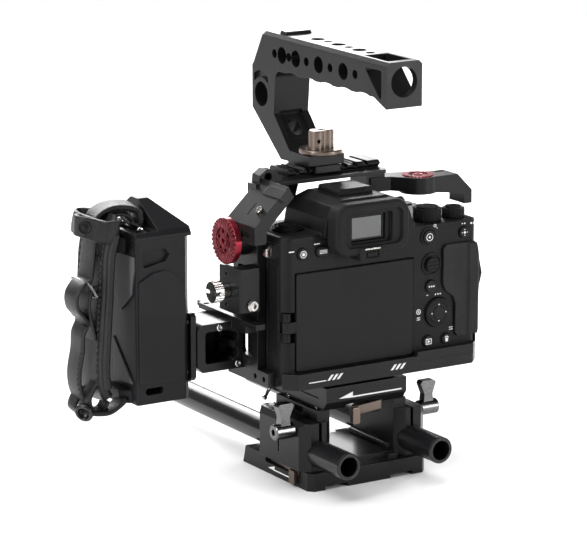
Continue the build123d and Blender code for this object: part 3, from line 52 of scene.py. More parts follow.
# ------------------------------------------------------------------ camera, light, floor
def make_camera():
    data = bpy.data.cameras.new("camera")
    data.lens, data.sensor_width = 190.2, 36.0
    data.clip_start, data.clip_end = 0.05, 60.0
    camera = bpy.data.objects.new("camera", data)
    camera.location = mm(-899.0, -1407.3, 504.1)
    camera.rotation_euler = (math.radians(76.77), 0.0, math.radians(-31.75))
    bpy.context.scene.collection.objects.link(camera)
    bpy.context.scene.camera = camera


def area_light(name, place, target, size, power, shade=(1.0, 1.0, 1.0)):
    data = bpy.data.lights.new(name, "AREA")
    data.shape, data.size, data.size_y = "RECTANGLE", size[0], size[1]
    data.energy, data.color = power, shade
    light = bpy.data.objects.new(name, data)
    light.location = place
    light.rotation_euler = (Vector(target) - Vector(place)).to_track_quat("-Z", "Y").to_euler()
    bpy.context.scene.collection.objects.link(light)


def make_studio():
    world = bpy.data.worlds.new("studio")
    bpy.context.scene.world = world
    world.use_nodes = True
    world.node_tree.nodes["Background"].inputs["Color"].default_value = (1.0, 1.0, 1.0, 1.0)
    world.node_tree.nodes["Background"].inputs["Strength"].default_value = 0.20
    sun = bpy.data.lights.new("overhead", "SUN")
    sun.energy, sun.angle = 3.2, math.radians(60.0)
    overhead = bpy.data.objects.new("overhead", sun)
    overhead.rotation_euler = (math.radians(-12.0), math.radians(-14.0), 0.0)
    bpy.context.scene.collection.objects.link(overhead)
    middle = (0.0, 0.02, 0.12)
    area_light("left_softbox", (-1.15, -0.25, 0.55), middle, (0.2, 0.9), 10.0)
    area_light("rear_softbox", (0.75, -1.25, 0.42), middle, (0.22, 0.8), 9.0)
    area_light("front_softbox", (0.35, 1.25, 0.65), middle, (0.9, 0.4), 16.0)
    area_light("rim_strip", (1.1, 0.55, 0.35), middle, (0.15, 0.9), 12.0)
    bpy.context.scene.view_settings.view_transform = "Standard"

    bpy.ops.mesh.primitive_plane_add(size=14.0, location=(0.0, 2.0, 0.0))
    floor = bpy.context.object
    floor.name = "floor"
    material, shader = principled("floor_paper", (0.88, 0.88, 0.88), 0.7)
    grain = material.node_tree.nodes.new("ShaderNodeTexNoise")
    grain.inputs["Scale"].default_value = 3.0
    tint = ramp(material, grain.outputs["Fac"], (0.87, 0.87, 0.87), (0.89, 0.89, 0.89))
    material.node_tree.links.new(tint, shader.inputs["Base Color"])
    floor.data.materials.append(material)


# ------------------------------------------------------------------ materials
def principled(name, colour, roughness, metallic=0.0, coat=0.0, sheen=0.0, specular=0.5):
    material = bpy.data.materials.new(name)
    material.use_nodes = True
    shader = material.node_tree.nodes["Principled BSDF"]
    shader.inputs["Base Color"].default_value = (*colour, 1.0)
    shader.inputs["Roughness"].default_value = roughness
    shader.inputs["Metallic"].default_value = metallic
    shader.inputs["Coat Weight"].default_value = coat
    shader.inputs["Coat Roughness"].default_value = 0.25
    shader.inputs["Sheen Weight"].default_value = sheen
    shader.inputs["Specular IOR Level"].default_value = specular
    return material, shader


def ramp(material, source, low, high, start=0.35, end=0.65):
    node = material.node_tree.nodes.new("ShaderNodeValToRGB")
    node.color_ramp.elements[0].position = start
    node.color_ramp.elements[1].position = end
    node.color_ramp.elements[0].color = (*low, 1.0)
    node.color_ramp.elements[1].color = (*high, 1.0)
    material.node_tree.links.new(source, node.inputs["Fac"])
    return node.outputs["Color"]


def texture(material, kind, scale, detail=3.0, stretch=(1.0, 1.0, 1.0)):
    """A noise or cell texture in the rig's own coordinates; scale is in features per metre."""
    tree = material.node_tree
    place = tree.nodes.new("ShaderNodeTexCoord")
    mapping = tree.nodes.new("ShaderNodeMapping")
    mapping.inputs["Scale"].default_value = stretch
    tree.links.new(place.outputs["Object"], mapping.inputs["Vector"])
    node = tree.nodes.new("ShaderNodeTexVoronoi" if kind == "cells" else "ShaderNodeTexNoise")
    node.inputs["Scale"].default_value = scale
    if kind == "cells":
        node.feature = "DISTANCE_TO_EDGE"
        tree.links.new(mapping.outputs["Vector"], node.inputs["Vector"])
        return node.outputs["Distance"]
    node.inputs["Detail"].default_value = detail
    tree.links.new(mapping.outputs["Vector"], node.inputs["Vector"])
    return node.outputs["Fac"]


def arithmetic(material, operation, a, b):
    node = material.node_tree.nodes.new("ShaderNodeMath")
    node.operation = operation
    for socket, value in zip(node.inputs, (a, b)):
        if isinstance(value, (int, float)):
            socket.default_value = value
        else:
            material.node_tree.links.new(value, socket)
    return node.outputs[0]


def bevelled_normal(material, radius):
    node = material.node_tree.nodes.new("ShaderNodeBevel")
    node.samples = 4
    node.inputs["Radius"].default_value = radius
    return node.outputs["Normal"]


def add_bump(material, shader, height, strength, distance, normal=None):
    node = material.node_tree.nodes.new("ShaderNodeBump")
    node.inputs["Strength"].default_value = strength
    node.inputs["Distance"].default_value = distance
    material.node_tree.links.new(height, node.inputs["Height"])
    if normal is not None:
        material.node_tree.links.new(normal, node.inputs["Normal"])
    material.node_tree.links.new(node.outputs["Normal"], shader.inputs["Normal"])


def edge_mask(material, rounded):
    """1 near a sharp edge, 0 on flat faces: how far the rounded normal leans from the true one."""
    tree = material.node_tree
    geometry = tree.nodes.new("ShaderNodeNewGeometry")
    dot = tree.nodes.new("ShaderNodeVectorMath")
    dot.operation = "DOT_PRODUCT"
    tree.links.new(rounded, dot.inputs[0])
    tree.links.new(geometry.outputs["Normal"], dot.inputs[1])
    lean = arithmetic(material, "SUBTRACT", 1.0, dot.outputs["Value"])
    return arithmetic(material, "MULTIPLY", lean, 3.0)


def surface_with_worn_highlit_edges(name, colour, light, roughness, metallic, grain=2600.0, bump=0.25, depth=0.00002, edge=0.0004,
                 edge_wear_and_highlight=(0.1, 0.1, 0.1), coat=0.0, blotch=22.0, spread=0.08, specular=0.13):
    """Blasted, moulded or polished surface with soft edges, edges lightened partly by wear and partly by a painted
    highlight, and uneven sheen.
    """
    material, shader = principled(name, colour, roughness, metallic, coat, specular=specular)
    tree = material.node_tree
    rounded = bevelled_normal(material, edge)
    fine = texture(material, "noise", grain, 4.0)
    add_bump(material, shader, fine, bump, depth, rounded)
    cloud = texture(material, "noise", blotch, 5.0)
    base = ramp(material, cloud, colour, light)
    mix = tree.nodes.new("ShaderNodeMix")
    mix.data_type = "RGBA"
    # lighter colour on sharp edges: partly edge wear, partly a painted highlight standing in for glints along the edges
    worn_and_highlit_edges = arithmetic(material, "MULTIPLY", edge_mask(material, rounded), texture(material, "noise", 420.0, 2.0))
    tree.links.new(worn_and_highlit_edges, mix.inputs["Factor"])
    tree.links.new(base, mix.inputs["A"])
    mix.inputs["B"].default_value = (*edge_wear_and_highlight, 1.0)
    tree.links.new(mix.outputs["Result"], shader.inputs["Base Color"])
    sheen = arithmetic(material, "MULTIPLY_ADD", texture(material, "noise", blotch * 6.0, 3.0), spread)
    sheen.node.inputs[2].default_value = roughness - spread / 2
    tree.links.new(sheen, shader.inputs["Roughness"])
    return material


def leather(name, colour, light, scale=900.0, roughness=0.48, depth=0.0001, edge=0.0003, specular=0.2):
    """Grained hide: pebbled cells with fine pores, paler on the high spots."""
    material, shader = principled(name, colour, roughness, specular=specular)
    tree = material.node_tree
    pebble = ramp(material, texture(material, "cells", scale), (0.0,) * 3, (1.0,) * 3, 0.0, 0.28)
    pores = texture(material, "noise", scale * 3.4, 3.0)
    crease = texture(material, "noise", 95.0, 5.0, (1.0, 1.0, 0.35))
    height = arithmetic(material, "ADD", pebble, arithmetic(material, "MULTIPLY", pores, 0.5))
    height = arithmetic(material, "ADD", height, arithmetic(material, "MULTIPLY", crease, 2.2))
    add_bump(material, shader, height, 0.55, depth, bevelled_normal(material, edge))
    tree.links.new(ramp(material, crease, colour, light, 0.3, 0.75), shader.inputs["Base Color"])
    rough = arithmetic(material, "MULTIPLY_ADD", pebble, -0.12)
    rough.node.inputs[2].default_value = roughness + 0.1
    tree.links.new(rough, shader.inputs["Roughness"])
    return material


def machined(name, colour, light, roughness, stretch, scale=700.0, edge=0.00025):
    """Turned or brushed metal: fine lines drawn out along one direction."""
    material, shader = principled(name, colour, roughness, 1.0)
    lines = texture(material, "noise", scale, 3.0, stretch)
    add_bump(material, shader, lines, 0.22, 0.00003, bevelled_normal(material, edge))
    material.node_tree.links.new(ramp(material, lines, colour, light), shader.inputs["Base Color"])
    rough = arithmetic(material, "MULTIPLY_ADD", lines, 0.18)
    rough.node.inputs[2].default_value = roughness - 0.09
    material.node_tree.links.new(rough, shader.inputs["Roughness"])
    return material


def ink(name, colour):
    """Printed marking: slightly uneven, thin paint."""
    material, shader = principled(name, colour, 0.55)
    speck = texture(material, "noise", 2200.0, 2.0)
    faded = tuple(c * 0.72 for c in colour)
    material.node_tree.links.new(ramp(material, speck, faded, colour, 0.25, 0.5), shader.inputs["Base Color"])
    return material


def coated_glass(name, colour, roughness=0.06):
    """Dark display or window glass with a faint smear in its gloss."""
    material, shader = principled(name, colour, roughness, coat=1.0, specular=0.6)
    smear = texture(material, "noise", 60.0, 4.0)
    rough = arithmetic(material, "MULTIPLY_ADD", smear, 0.08)
    rough.node.inputs[2].default_value = roughness
    material.node_tree.links.new(rough, shader.inputs["Roughness"])
    tint = tuple(c * 1.6 for c in colour)
    material.node_tree.links.new(ramp(material, smear, colour, tint), shader.inputs["Base Color"])
    return material


def make_materials():
    return {
        "anodised": surface_with_worn_highlit_edges("black_anodised", (0.006, 0.006, 0.0065), (0.009, 0.009, 0.0095), 0.30, 0.0,
                                 edge_wear_and_highlight=(0.09, 0.09, 0.09), edge=0.00045, bump=0.15, specular=0.19),
        "rod": surface_with_worn_highlit_edges("black_rod", (0.006, 0.006, 0.0065), (0.009, 0.009, 0.01), 0.24, 0.0, edge=0.0004,
                            edge_wear_and_highlight=(0.25, 0.25, 0.25), bump=0.1, specular=0.36),
        "bronze": surface_with_worn_highlit_edges("bronze_anodised", (0.135, 0.105, 0.088), (0.19, 0.15, 0.128), 0.30, 0.85,
                               edge_wear_and_highlight=(0.42, 0.36, 0.31)),
        "gunmetal": machined("gunmetal", (0.10, 0.10, 0.103), (0.19, 0.19, 0.19), 0.22, (1.0, 1.0, 6.0)),
        "red": surface_with_worn_highlit_edges("red_anodised", (0.15, 0.010, 0.016), (0.30, 0.025, 0.04), 0.30, 0.7, edge=0.00025,
                            edge_wear_and_highlight=(0.62, 0.30, 0.32), blotch=160.0),
        "steel": machined("screw_steel", (0.30, 0.29, 0.28), (0.50, 0.48, 0.46), 0.2, (4.0, 1.0, 1.0)),
        "mount_steel": machined("mount_steel", (0.45, 0.44, 0.42), (0.62, 0.61, 0.58), 0.26, (1.0, 8.0, 1.0)),
        "camera": surface_with_worn_highlit_edges("camera_shell", (0.0055, 0.0055, 0.0057), (0.008, 0.008, 0.0083), 0.44, 0.0,
                               grain=3400.0, bump=0.55, depth=0.00005, edge=0.0009, edge_wear_and_highlight=(0.04, 0.04, 0.04)),
        "monitor": surface_with_worn_highlit_edges("monitor_back", (0.0105, 0.0105, 0.0108), (0.012, 0.012, 0.0123), 0.55, 0.0,
                                grain=4200.0, bump=0.35, depth=0.00003, edge=0.0006, edge_wear_and_highlight=(0.04, 0.04, 0.04)),
        "button": surface_with_worn_highlit_edges("button_plastic", (0.007, 0.007, 0.0075), (0.01, 0.01, 0.0105), 0.32, 0.0,
                               edge=0.0003, edge_wear_and_highlight=(0.07, 0.07, 0.07), bump=0.15),
        "rubber": surface_with_worn_highlit_edges("eyecup_rubber", (0.008, 0.008, 0.008), (0.012, 0.012, 0.012), 0.58, 0.0,
                               grain=1800.0, bump=0.3, edge=0.0009, edge_wear_and_highlight=(0.03, 0.03, 0.03)),
        "grip": leather("grip_leather", (0.008, 0.008, 0.0083), (0.015, 0.015, 0.0155), 620.0, 0.5, 0.00016),
        "glass": coated_glass("window_glass", (0.004, 0.005, 0.007)),
        "screen": coated_glass("screen_glass", (0.003, 0.003, 0.004), 0.04),
        "sensor": coated_glass("sensor_glass", (0.015, 0.03, 0.045), 0.08),
        "handle": surface_with_worn_highlit_edges("handle_plastic", (0.0085, 0.0085, 0.0095), (0.012, 0.012, 0.0132), 0.36, 0.0,
                               grain=2400.0, bump=0.3, edge=0.0009, edge_wear_and_highlight=(0.05, 0.05, 0.05)),
        "panel": surface_with_worn_highlit_edges("handle_panel", (0.075, 0.075, 0.078), (0.09, 0.09, 0.094), 0.42, 0.0,
                              grain=2400.0, bump=0.25, edge=0.0004, edge_wear_and_highlight=(0.12, 0.12, 0.12)),
        "strap": leather("strap_leather", (0.003, 0.0029, 0.0029), (0.009, 0.0087, 0.0087), 1300.0, 0.31, 0.00018,
                         specular=0.30),
        "thread": surface_with_worn_highlit_edges("strap_thread", (0.03, 0.03, 0.03), (0.06, 0.06, 0.06), 0.55, 0.0, grain=5200.0,
                               edge=0.0001),
        "white": ink("white_ink", (0.80, 0.80, 0.79)),
        "grey_ink": ink("grey_ink", (0.30, 0.30, 0.30)),
        "gold": machined("contact_gold", (0.55, 0.40, 0.16), (0.72, 0.55, 0.25), 0.25, (1.0, 1.0, 1.0)),
    }


FINISHES = {
    "anodised": ["base_plate", "rod_clamp_body", "qr_receiver", "qr_plate", "cage_base", "cage_side_frame",
                 "cage_top_plate", "cage_right_arm", "cable_clamp", "top_handle", "handle_jaw", "handle_bracket",
                 "side_handle_rail"],
    "rod": ["left_rod", "right_rod"],
    "bronze": ["base_lock_lever", "qr_lock_lever", "handle_thumb_screw"],
    "gunmetal": ["left_clamp_lever", "right_clamp_lever"],
    "red": ["rosettes"],
    "steel": ["cable_clamp_knob", "cage_screws", "strap_lugs", "handle_fittings"],
    "mount_steel": ["lens_mount_ring"],
    "camera": ["camera_rear_shell", "camera_front_shell", "camera_top_cover", "shoe_cover", "monitor_hinge",
               "port_door"],
    "monitor": ["monitor_panel"],
    "button": ["dioptre_dial", "lens_release_button", "power_lever", "shutter_button", "mode_dial",
               "exposure_dial", "front_dial", "menu_button", "control_wheel", "wheel_button", "custom_button",
               "af_button", "ael_button", "fn_button", "play_button", "delete_button"],
    "rubber": ["eyecup", "joystick"],
    "grip": ["grip_rubber", "thumb_rest"],
    "glass": ["viewfinder_window"],
    "sensor": ["image_sensor"],
    "handle": ["side_handle_shell", "side_handle_cap", "side_handle_cover"],
    "panel": ["side_handle_panels"],
    "strap": ["hand_strap"],
}


def dress_cad_nodes():
    for finish, names in FINISHES.items():
        for name in names:
            mesh = nodes[name].data
            mesh.materials.clear()
            mesh.materials.append(LOOK[finish])


# ------------------------------------------------------------------ mesh helpers
def make_piece(name, verts, faces, finish, body, smooth=True, levels=0, bevel=0.0):
    mesh = bpy.data.meshes.new(name)
    mesh.from_pydata([tuple(v) for v in verts], [], faces)
    mesh.validate()
    tidy = bmesh.new()
    tidy.from_mesh(mesh)
    bmesh.ops.recalc_face_normals(tidy, faces=tidy.faces)
    tidy.to_mesh(mesh)
    tidy.free()
    mesh.materials.append(LOOK[finish])
    if smooth:
        mesh.shade_smooth()
    piece = bpy.data.objects.new(name, mesh)
    bpy.context.scene.collection.objects.link(piece)
    if bevel:
        rounding = piece.modifiers.new("bevel", "BEVEL")
        rounding.width, rounding.segments, rounding.limit_method = bevel, 2, "ANGLE"
    if levels:
        subdivision = piece.modifiers.new("subdivision", "SUBSURF")
        subdivision.levels = subdivision.render_levels = levels
    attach(piece, body)
    return piece


def spline(points, per=8, closed=False):
    """Catmull-Rom curve through the points."""
    points = [Vector(p) for p in points]
    n = len(points)
    curve = []
    for i in range(n if closed else n - 1):
        p1, p2 = points[i], points[(i + 1) % n]
        p0 = points[i - 1] if closed or i else p1 * 2 - p2
        p3 = points[(i + 2) % n] if closed or i + 2 < n else p2 * 2 - p1
        for k in range(per):
            t = k / per
            curve.append(0.5 * ((2 * p1) + (p2 - p0) * t + (2 * p0 - 5 * p1 + 4 * p2 - p3) * t * t
                                + (3 * p1 - p0 - 3 * p2 + p3) * t ** 3))
    if not closed:
        curve.append(points[-1])
    return curve


def ribbon_section(width, thick, crown=0.0, rim=0.0):
    """Closed outline of a band: flat inside, crowned outside, with padded rims along both edges."""
    half, low = width / 2, thick / 2
    across = [-1.0, -0.93, -0.8, -0.55, -0.25, 0.0, 0.25, 0.55, 0.8, 0.93, 1.0]
    outer = []
    for a in across:
        swell = crown * (1 - a * a) + rim * math.exp(-((abs(a) - 0.84) / 0.12) ** 2)
        ease = math.sqrt(max(0.0, 1 - max(0.0, (abs(a) - 0.9) / 0.1) ** 2))
        outer.append((a * half, low * ease + swell * (1.0 if abs(a) < 0.99 else 0.4)))
    inner = [(a * half, -low * math.sqrt(max(0.0, 1 - max(0.0, (abs(a) - 0.9) / 0.1) ** 2))) for a in across[::-1]]
    return outer + inner


def sweep(name, path, across, section, finish, body, closed=False, levels=1, scale=None):
    """Carries a section along a path; across is the direction of the section's width, one or one per point."""
    verts, faces = [], []
    n, m = len(path), len(section)
    for i, point in enumerate(path):
        ahead = path[(i + 1) % n] if closed or i + 1 < n else path[i]
        behind = path[i - 1] if closed or i else path[i]
        forward = (ahead - behind).normalized()
        wide = Vector(across[i] if isinstance(across, list) else across)
        wide = (wide - forward * wide.dot(forward)).normalized()
        out = forward.cross(wide)
        factor = scale(i / (n - 1)) if scale else 1.0
        for a, b in section:
            verts.append(point + wide * a * factor + out * b)
    for i in range(n if closed else n - 1):
        for k in range(m):
            j = (i + 1) % n
            faces.append((i * m + k, i * m + (k + 1) % m, j * m + (k + 1) % m, j * m + k))
    if not closed:
        faces.append(tuple(range(m)))
        faces.append(tuple(range((n - 1) * m, n * m)))
    return make_piece(name, verts, faces, finish, body, levels=levels)


def circle_section(radius, count=12):
    return [(radius * math.cos(2 * math.pi * k / count), radius * math.sin(2 * math.pi * k / count))
            for k in range(count)]


def flat_shapes(name, outlines, origin, right, up, height, finish, body, bevel=0.0):
    """Thin raised shapes drawn in a plane: each outline is a list of (right, up) points in millimetres."""
    right, up, origin = Vector(right), Vector(up), Vector(origin)
    out = right.cross(up)
    verts, faces = [], []
    for outline in outlines:
        start, n = len(verts), len(outline)
        for level in (0.0, height):
            verts += [origin + (right * a + up * b + out * level) * MM for a, b in outline]
        faces.append(tuple(range(start, start + n)))
        faces.append(tuple(range(start + n, start + 2 * n)))
        faces += [(start + k, start + (k + 1) % n, start + n + (k + 1) % n, start + n + k) for k in range(n)]
    return make_piece(name, verts, faces, finish, body, smooth=False, bevel=bevel)


def bar(x0, x1, y0, y1, lean=0.0):
    return [(x0, y0), (x1, y0), (x1 + lean, y1), (x0 + lean, y1)]


def ring_outline(x, y, radius, width, start=0.0, sweep_by=360.0, steps=28):
    points = []
    angles = [math.radians(start + sweep_by * k / steps) for k in range(steps + 1)]
    points += [(x + radius * math.cos(a), y + radius * math.sin(a)) for a in angles]
    points += [(x + (radius - width) * math.cos(a), y + (radius - width) * math.sin(a)) for a in angles[::-1]]
    return points


def disc_outline(x, y, radius, steps=20):
    return [(x + radius * math.cos(2 * math.pi * k / steps), y + radius * math.sin(2 * math.pi * k / steps))
            for k in range(steps)]


def lathe(name, profile, origin, axis, finish, body, steps=40, smooth=True):
    """Turned solid: profile is (radius, height) in millimetres from one end of the axis to the other."""
    axis = Vector(axis).normalized()
    side = axis.orthogonal().normalized()
    other = axis.cross(side)
    origin = Vector(origin)
    verts, faces = [], []
    for radius, height in profile:
        for k in range(steps):
            turn = 2 * math.pi * k / steps
            verts.append(origin + (axis * height + (side * math.cos(turn) + other * math.sin(turn)) * radius) * MM)
    for i in range(len(profile) - 1):
        for k in range(steps):
            faces.append((i * steps + k, i * steps + (k + 1) % steps, (i + 1) * steps + (k + 1) % steps,
                          (i + 1) * steps + k))
    faces.append(tuple(range(steps)))
    faces.append(tuple(range((len(profile) - 1) * steps, len(profile) * steps)))
    return make_piece(name, verts, faces, finish, body, smooth=smooth)


# ------------------------------------------------------------------ hand strap
HANDLE_LOW, HANDLE_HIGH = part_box("side_handle_shell")
CAP_LOW, CAP_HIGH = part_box("side_handle_cap")
STRAP_LOW, STRAP_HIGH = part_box("hand_strap")
BAND_Y = 29.0
ALONG_Y = (0.0, 1.0, 0.0)


def stitches(name, path, across, offset, lift, length=0.0020, gap=0.0011, radius=0.00032):
    """A row of small sewn stitches beside a path: short capsules, each sunk at both ends."""
    verts, faces = [], []
    travelled = 0.0
    sides = 6
    for i in range(len(path) - 1):
        step = (path[i + 1] - path[i]).length
        travelled += step
        if travelled < length + gap:
            continue
        travelled = 0.0
        forward = (path[i + 1] - path[i]).normalized()
        wide = Vector(across)
        wide = (wide - forward * wide.dot(forward)).normalized()
        out = forward.cross(wide)
        centre = path[i] + wide * offset + out * lift
        start = len(verts)
        for along, size, sink in ((-0.5, 0.35, -0.7), (-0.3, 1.0, 0.0), (0.3, 1.0, 0.0), (0.5, 0.35, -0.7)):
            for k in range(sides):
                turn = 2 * math.pi * k / sides
                verts.append(centre + forward * length * along + out * radius * sink
                             + (wide * math.cos(turn) + out * math.sin(turn)) * radius * size)
        for ring in range(3):
            for k in range(sides):
                a, b = start + ring * sides + k, start + ring * sides + (k + 1) % sides
                faces.append((a, b, b + sides, a + sides))
        faces.append(tuple(range(start, start + sides)))
        faces.append(tuple(range(start + 3 * sides, start + 4 * sides)))
    return make_piece(name, verts, faces, "thread", "side_handle")


def hand_strap():
    slot, body = "strap_leather", "side_handle"
    upright = (0.15, 1.0, 0.1)
    # padded palm band, bowed outwards, with piped rims
    middle = [mm(-127.0, BAND_Y - 1, 154.4), mm(-131.8, BAND_Y - 1, 147.0), mm(-134.4, BAND_Y, 134.0),
              mm(-135.8, BAND_Y, 113.0), mm(-137.4, BAND_Y, 92.0), mm(-138.6, BAND_Y, 74.0),
              mm(-137.8, BAND_Y, 62.0), mm(-133.6, BAND_Y - 1, 54.6)]
    path = spline(middle, 14)
    band = sweep("strap_palm_band", path[::-1], ALONG_Y, ribbon_section(0.034, 0.0052, 0.0010, 0.0008), "strap",
                 body, scale=lambda t: 0.74 + 0.26 * min(1.0, min(t, 1 - t) * 7))
    for side in (-1, 1):
        edge_line = [p + Vector((0.0, side * 0.0164, 0.0)) for p in spline(middle[1:-1], 14)]
        sweep(f"strap_piping_{'rear' if side < 0 else 'front'}", edge_line[::-1], ALONG_Y, circle_section(0.0024, 10),
              "strap", body)
        row = spline(middle[1:-1], 40)[::-1]
        stitches(f"strap_stitches_{'rear' if side < 0 else 'front'}", row, ALONG_Y, side * 0.0128, 0.0038)
    lining = spline([p + mm(3.2, 0, 0) for p in middle[1:-1]], 12)
    sweep("strap_lining", lining[::-1], ALONG_Y, ribbon_section(0.028, 0.0012), "rubber", body)
    # sewn patch on the band's outer face
    patch = spline([p - mm(3.5, 0, 0) for p in middle[2:5]], 12)
    sweep("strap_patch", patch[::-1], ALONG_Y, ribbon_section(0.023, 0.0011, 0.0002), "strap", body)
    stitches("strap_patch_stitches", spline([p - mm(3.9, 0, 0) for p in middle[2:5]], 60)[::-1], ALONG_Y, -0.0104,
             0.0004, 0.0016)

    # adjusting strap: from the keeper down over the band, round the side buckle, ending in a loose tail
    outer = [mm(-138.4, 27, 149.0), mm(-140.0, 27, 140.0), mm(-141.2, 27, 130.0), mm(-143.4, 26, 121.4),
             mm(-148.2, 25, 119.2), mm(-152.0, 25, 113.6), mm(-151.6, 25, 106.6), mm(-147.6, 25.5, 101.4),
             mm(-144.8, 27, 97.6), mm(-147.2, 27.6, 91.0), mm(-147.6, 28, 82.0), mm(-149.2, 29, 70.0),
             mm(-148.4, 29, 60.0), mm(-144.6, 28, 50.6)]
    sweep("strap_adjuster", spline(outer, 10)[::-1], ALONG_Y, ribbon_section(0.015, 0.0020, 0.0004), "strap", body)
    stitches("strap_tail_stitches", spline(outer[9:], 40)[::-1], ALONG_Y, -0.0058, 0.0013, 0.0017)
    inner = [mm(-141.4, 24, 118.0), mm(-144.6, 23.6, 112.0), mm(-145.0, 23.6, 104.0), mm(-143.0, 24, 96.0),
             mm(-141.2, 24, 88.0)]
    sweep("strap_return_ply", spline(inner, 10)[::-1], ALONG_Y, ribbon_section(0.013, 0.0018), "strap", body)
    hoop = [mm(-146.4, 15.5, 120.6), mm(-146.4, 35.5, 120.6), mm(-141.4, 35.5, 112.6), mm(-141.4, 15.5, 112.6)]
    loop = []
    for i, corner in enumerate(hoop):
        before, after = hoop[i - 1], hoop[(i + 1) % 4]
        loop += [corner + (before - corner).normalized() * 0.0018, corner + (after - corner).normalized() * 0.0018]
    sweep("strap_side_buckle", spline(loop, 5, True), (0.3, 0.2, 1.0), circle_section(0.0008, 10), "gunmetal", body,
          closed=True)

    # collar round the band's top and the keeper tab with its stud
    wrap = [mm(-130.2, 14.4, 148.5), mm(-130.4, 29, 150.6), mm(-133.6, 45.0, 149.5), mm(-139.6, 44.6, 149.0),
            mm(-142.2, 28, 149.4), mm(-139.4, 13.6, 148.6), mm(-134.4, 11.8, 148.2)]
    sweep("strap_top_collar", spline(wrap, 8, True), (0.2, 0.0, 1.0), ribbon_section(0.0125, 0.0020, 0.0006),
          "strap", body, closed=True)
    keeper = [mm(-134.0, 12.2, 147.4), mm(-139.5, 11.4, 148.8), mm(-145.0, 11.2, 150.8), mm(-150.0, 12.6, 152.4),
              mm(-152.4, 16.4, 153.0), mm(-151.4, 20.6, 153.0), mm(-147.4, 23.0, 152.4)]
    sweep("strap_keeper", spline(keeper, 8), (0.05, 0.0, 1.0), ribbon_section(0.0115, 0.0024, 0.0006), "strap", body)
    lathe("strap_stud", [(0.6, -0.6), (3.4, -0.4), (3.8, 0.5), (3.7, 1.3), (3.0, 1.9), (2.6, 1.5), (1.9, 1.45),
                         (1.0, 1.9), (0.2, 2.0)], mm(-150.2, 12.4, 152.6), (-0.55, -0.9, 0.15), "button", body)

    # upper loop: padded arch over the handle's shoulder, folded round the bar in the cap's pocket
    over = [mm(-134.0, 27, 146.0), mm(-137.4, 28, 149.6), mm(-136.6, 29, 153.6), mm(-131.6, 30, 157.0),
            mm(-124.4, 30, 158.6), mm(-116.6, 29, 158.0), mm(-111.4, 28, 155.4), mm(-110.4, 27, 151.2),
            mm(-111.2, 27, 147.6), mm(-114.0, 27, 148.4), mm(-117.0, 27, 150.4)]
    sweep("strap_upper_loop", spline(over, 10)[::-1], upright, ribbon_section(0.0135, 0.0030, 0.0008), "strap",
          body)
    stitches("strap_upper_stitches", spline(over[2:8], 40)[::-1], upright, -0.0050, 0.0022, 0.0017)
    under = [mm(-128.6, 26, 147.6), mm(-130.6, 27, 151.2), mm(-127.4, 28, 154.0), mm(-121.6, 28, 154.8),
             mm(-117.0, 27, 153.2), mm(-115.4, 27, 150.6)]
    sweep("strap_upper_lining", spline(under, 10)[::-1], upright, ribbon_section(0.0105, 0.0022, 0.0003), "strap",
          body)
    for side, y in (("rear", 17.4), ("front", 36.6)):
        lathe(f"strap_bar_end_{side}", [(2.2, -1.0), (2.3, 0.0), (2.0, 0.9), (1.4, 1.0), (0.1, 1.0)],
              mm(-114.0, y, 145.6), (0, -1 if side == "rear" else 1, 0), "steel", body, 24)

    # lower end: crossing loops, slider and a tab to the handle's foot
    cross_a = [mm(-137.0, 21, 68.0), mm(-142.6, 20.6, 63.0), mm(-146.0, 21, 56.0), mm(-143.0, 22, 49.4),
               mm(-136.8, 23, 49.0), mm(-133.6, 23, 53.6)]
    sweep("strap_cross_loop_rear", spline(cross_a, 9)[::-1], ALONG_Y, ribbon_section(0.009, 0.0020, 0.0004), "strap",
          body)
    cross_b = [mm(-134.0, 33, 64.0), mm(-139.6, 33, 58.0), mm(-146.0, 32, 56.6), mm(-149.6, 31, 50.6),
               mm(-146.8, 30, 46.6)]
    sweep("strap_cross_loop_front", spline(cross_b, 9)[::-1], ALONG_Y, ribbon_section(0.009, 0.0020, 0.0004), "strap",
          body)
    tab = [mm(-148.8, 22, 49.6), mm(-142.0, 21, 47.8), mm(-134.6, 20, 47.8), mm(-128.0, 20, 51.0),
           mm(-124.4, 20, 54.0)]
    sweep("strap_lower_tab", spline(tab, 9), ALONG_Y, ribbon_section(0.011, 0.0024, 0.0006), "strap", body)
    slider = [(4.6, -1.6), (5.2, -1.1), (5.2, 1.1), (4.6, 1.6), (3.6, 1.6), (3.2, 0.9), (3.2, -0.9)]
    lathe("strap_lower_slider", slider, mm(-148.2, 20.0, 49.0), (-0.75, -0.55, -0.3), "rod", body)
    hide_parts("hand_strap")


# ------------------------------------------------------------------ camera trim
def monitor_screen():
    """Bezel and glass on the face that is folded towards the camera."""
    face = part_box("monitor_panel")[1].y
    centre = Vector((-4.2 * MM, face, 94.2 * MM))
    flat_shapes("monitor_bezel", [bar(-35.8, 35.8, -25.2, 25.2)], centre, (-1, 0, 0), (0, 0, 1), 0.12, "button",
                "monitor")
    flat_shapes("monitor_glass", [bar(-33.4, 33.4, -22.4, 22.4)], centre + mm(0, 0.12, 0), (-1, 0, 0), (0, 0, 1),
                0.1, "screen", "monitor")


def magnifier(x, z, size):
    """Small ring with a slanted handle."""
    reach = size * 0.8
    handle = [(x + reach, z - reach - 0.2), (x + reach + 0.2, z - reach), (x + 2.1 * size, z - 1.9 * size),
              (x + 1.9 * size, z - 2.1 * size)]
    return [ring_outline(x, z, size, 0.35), handle]


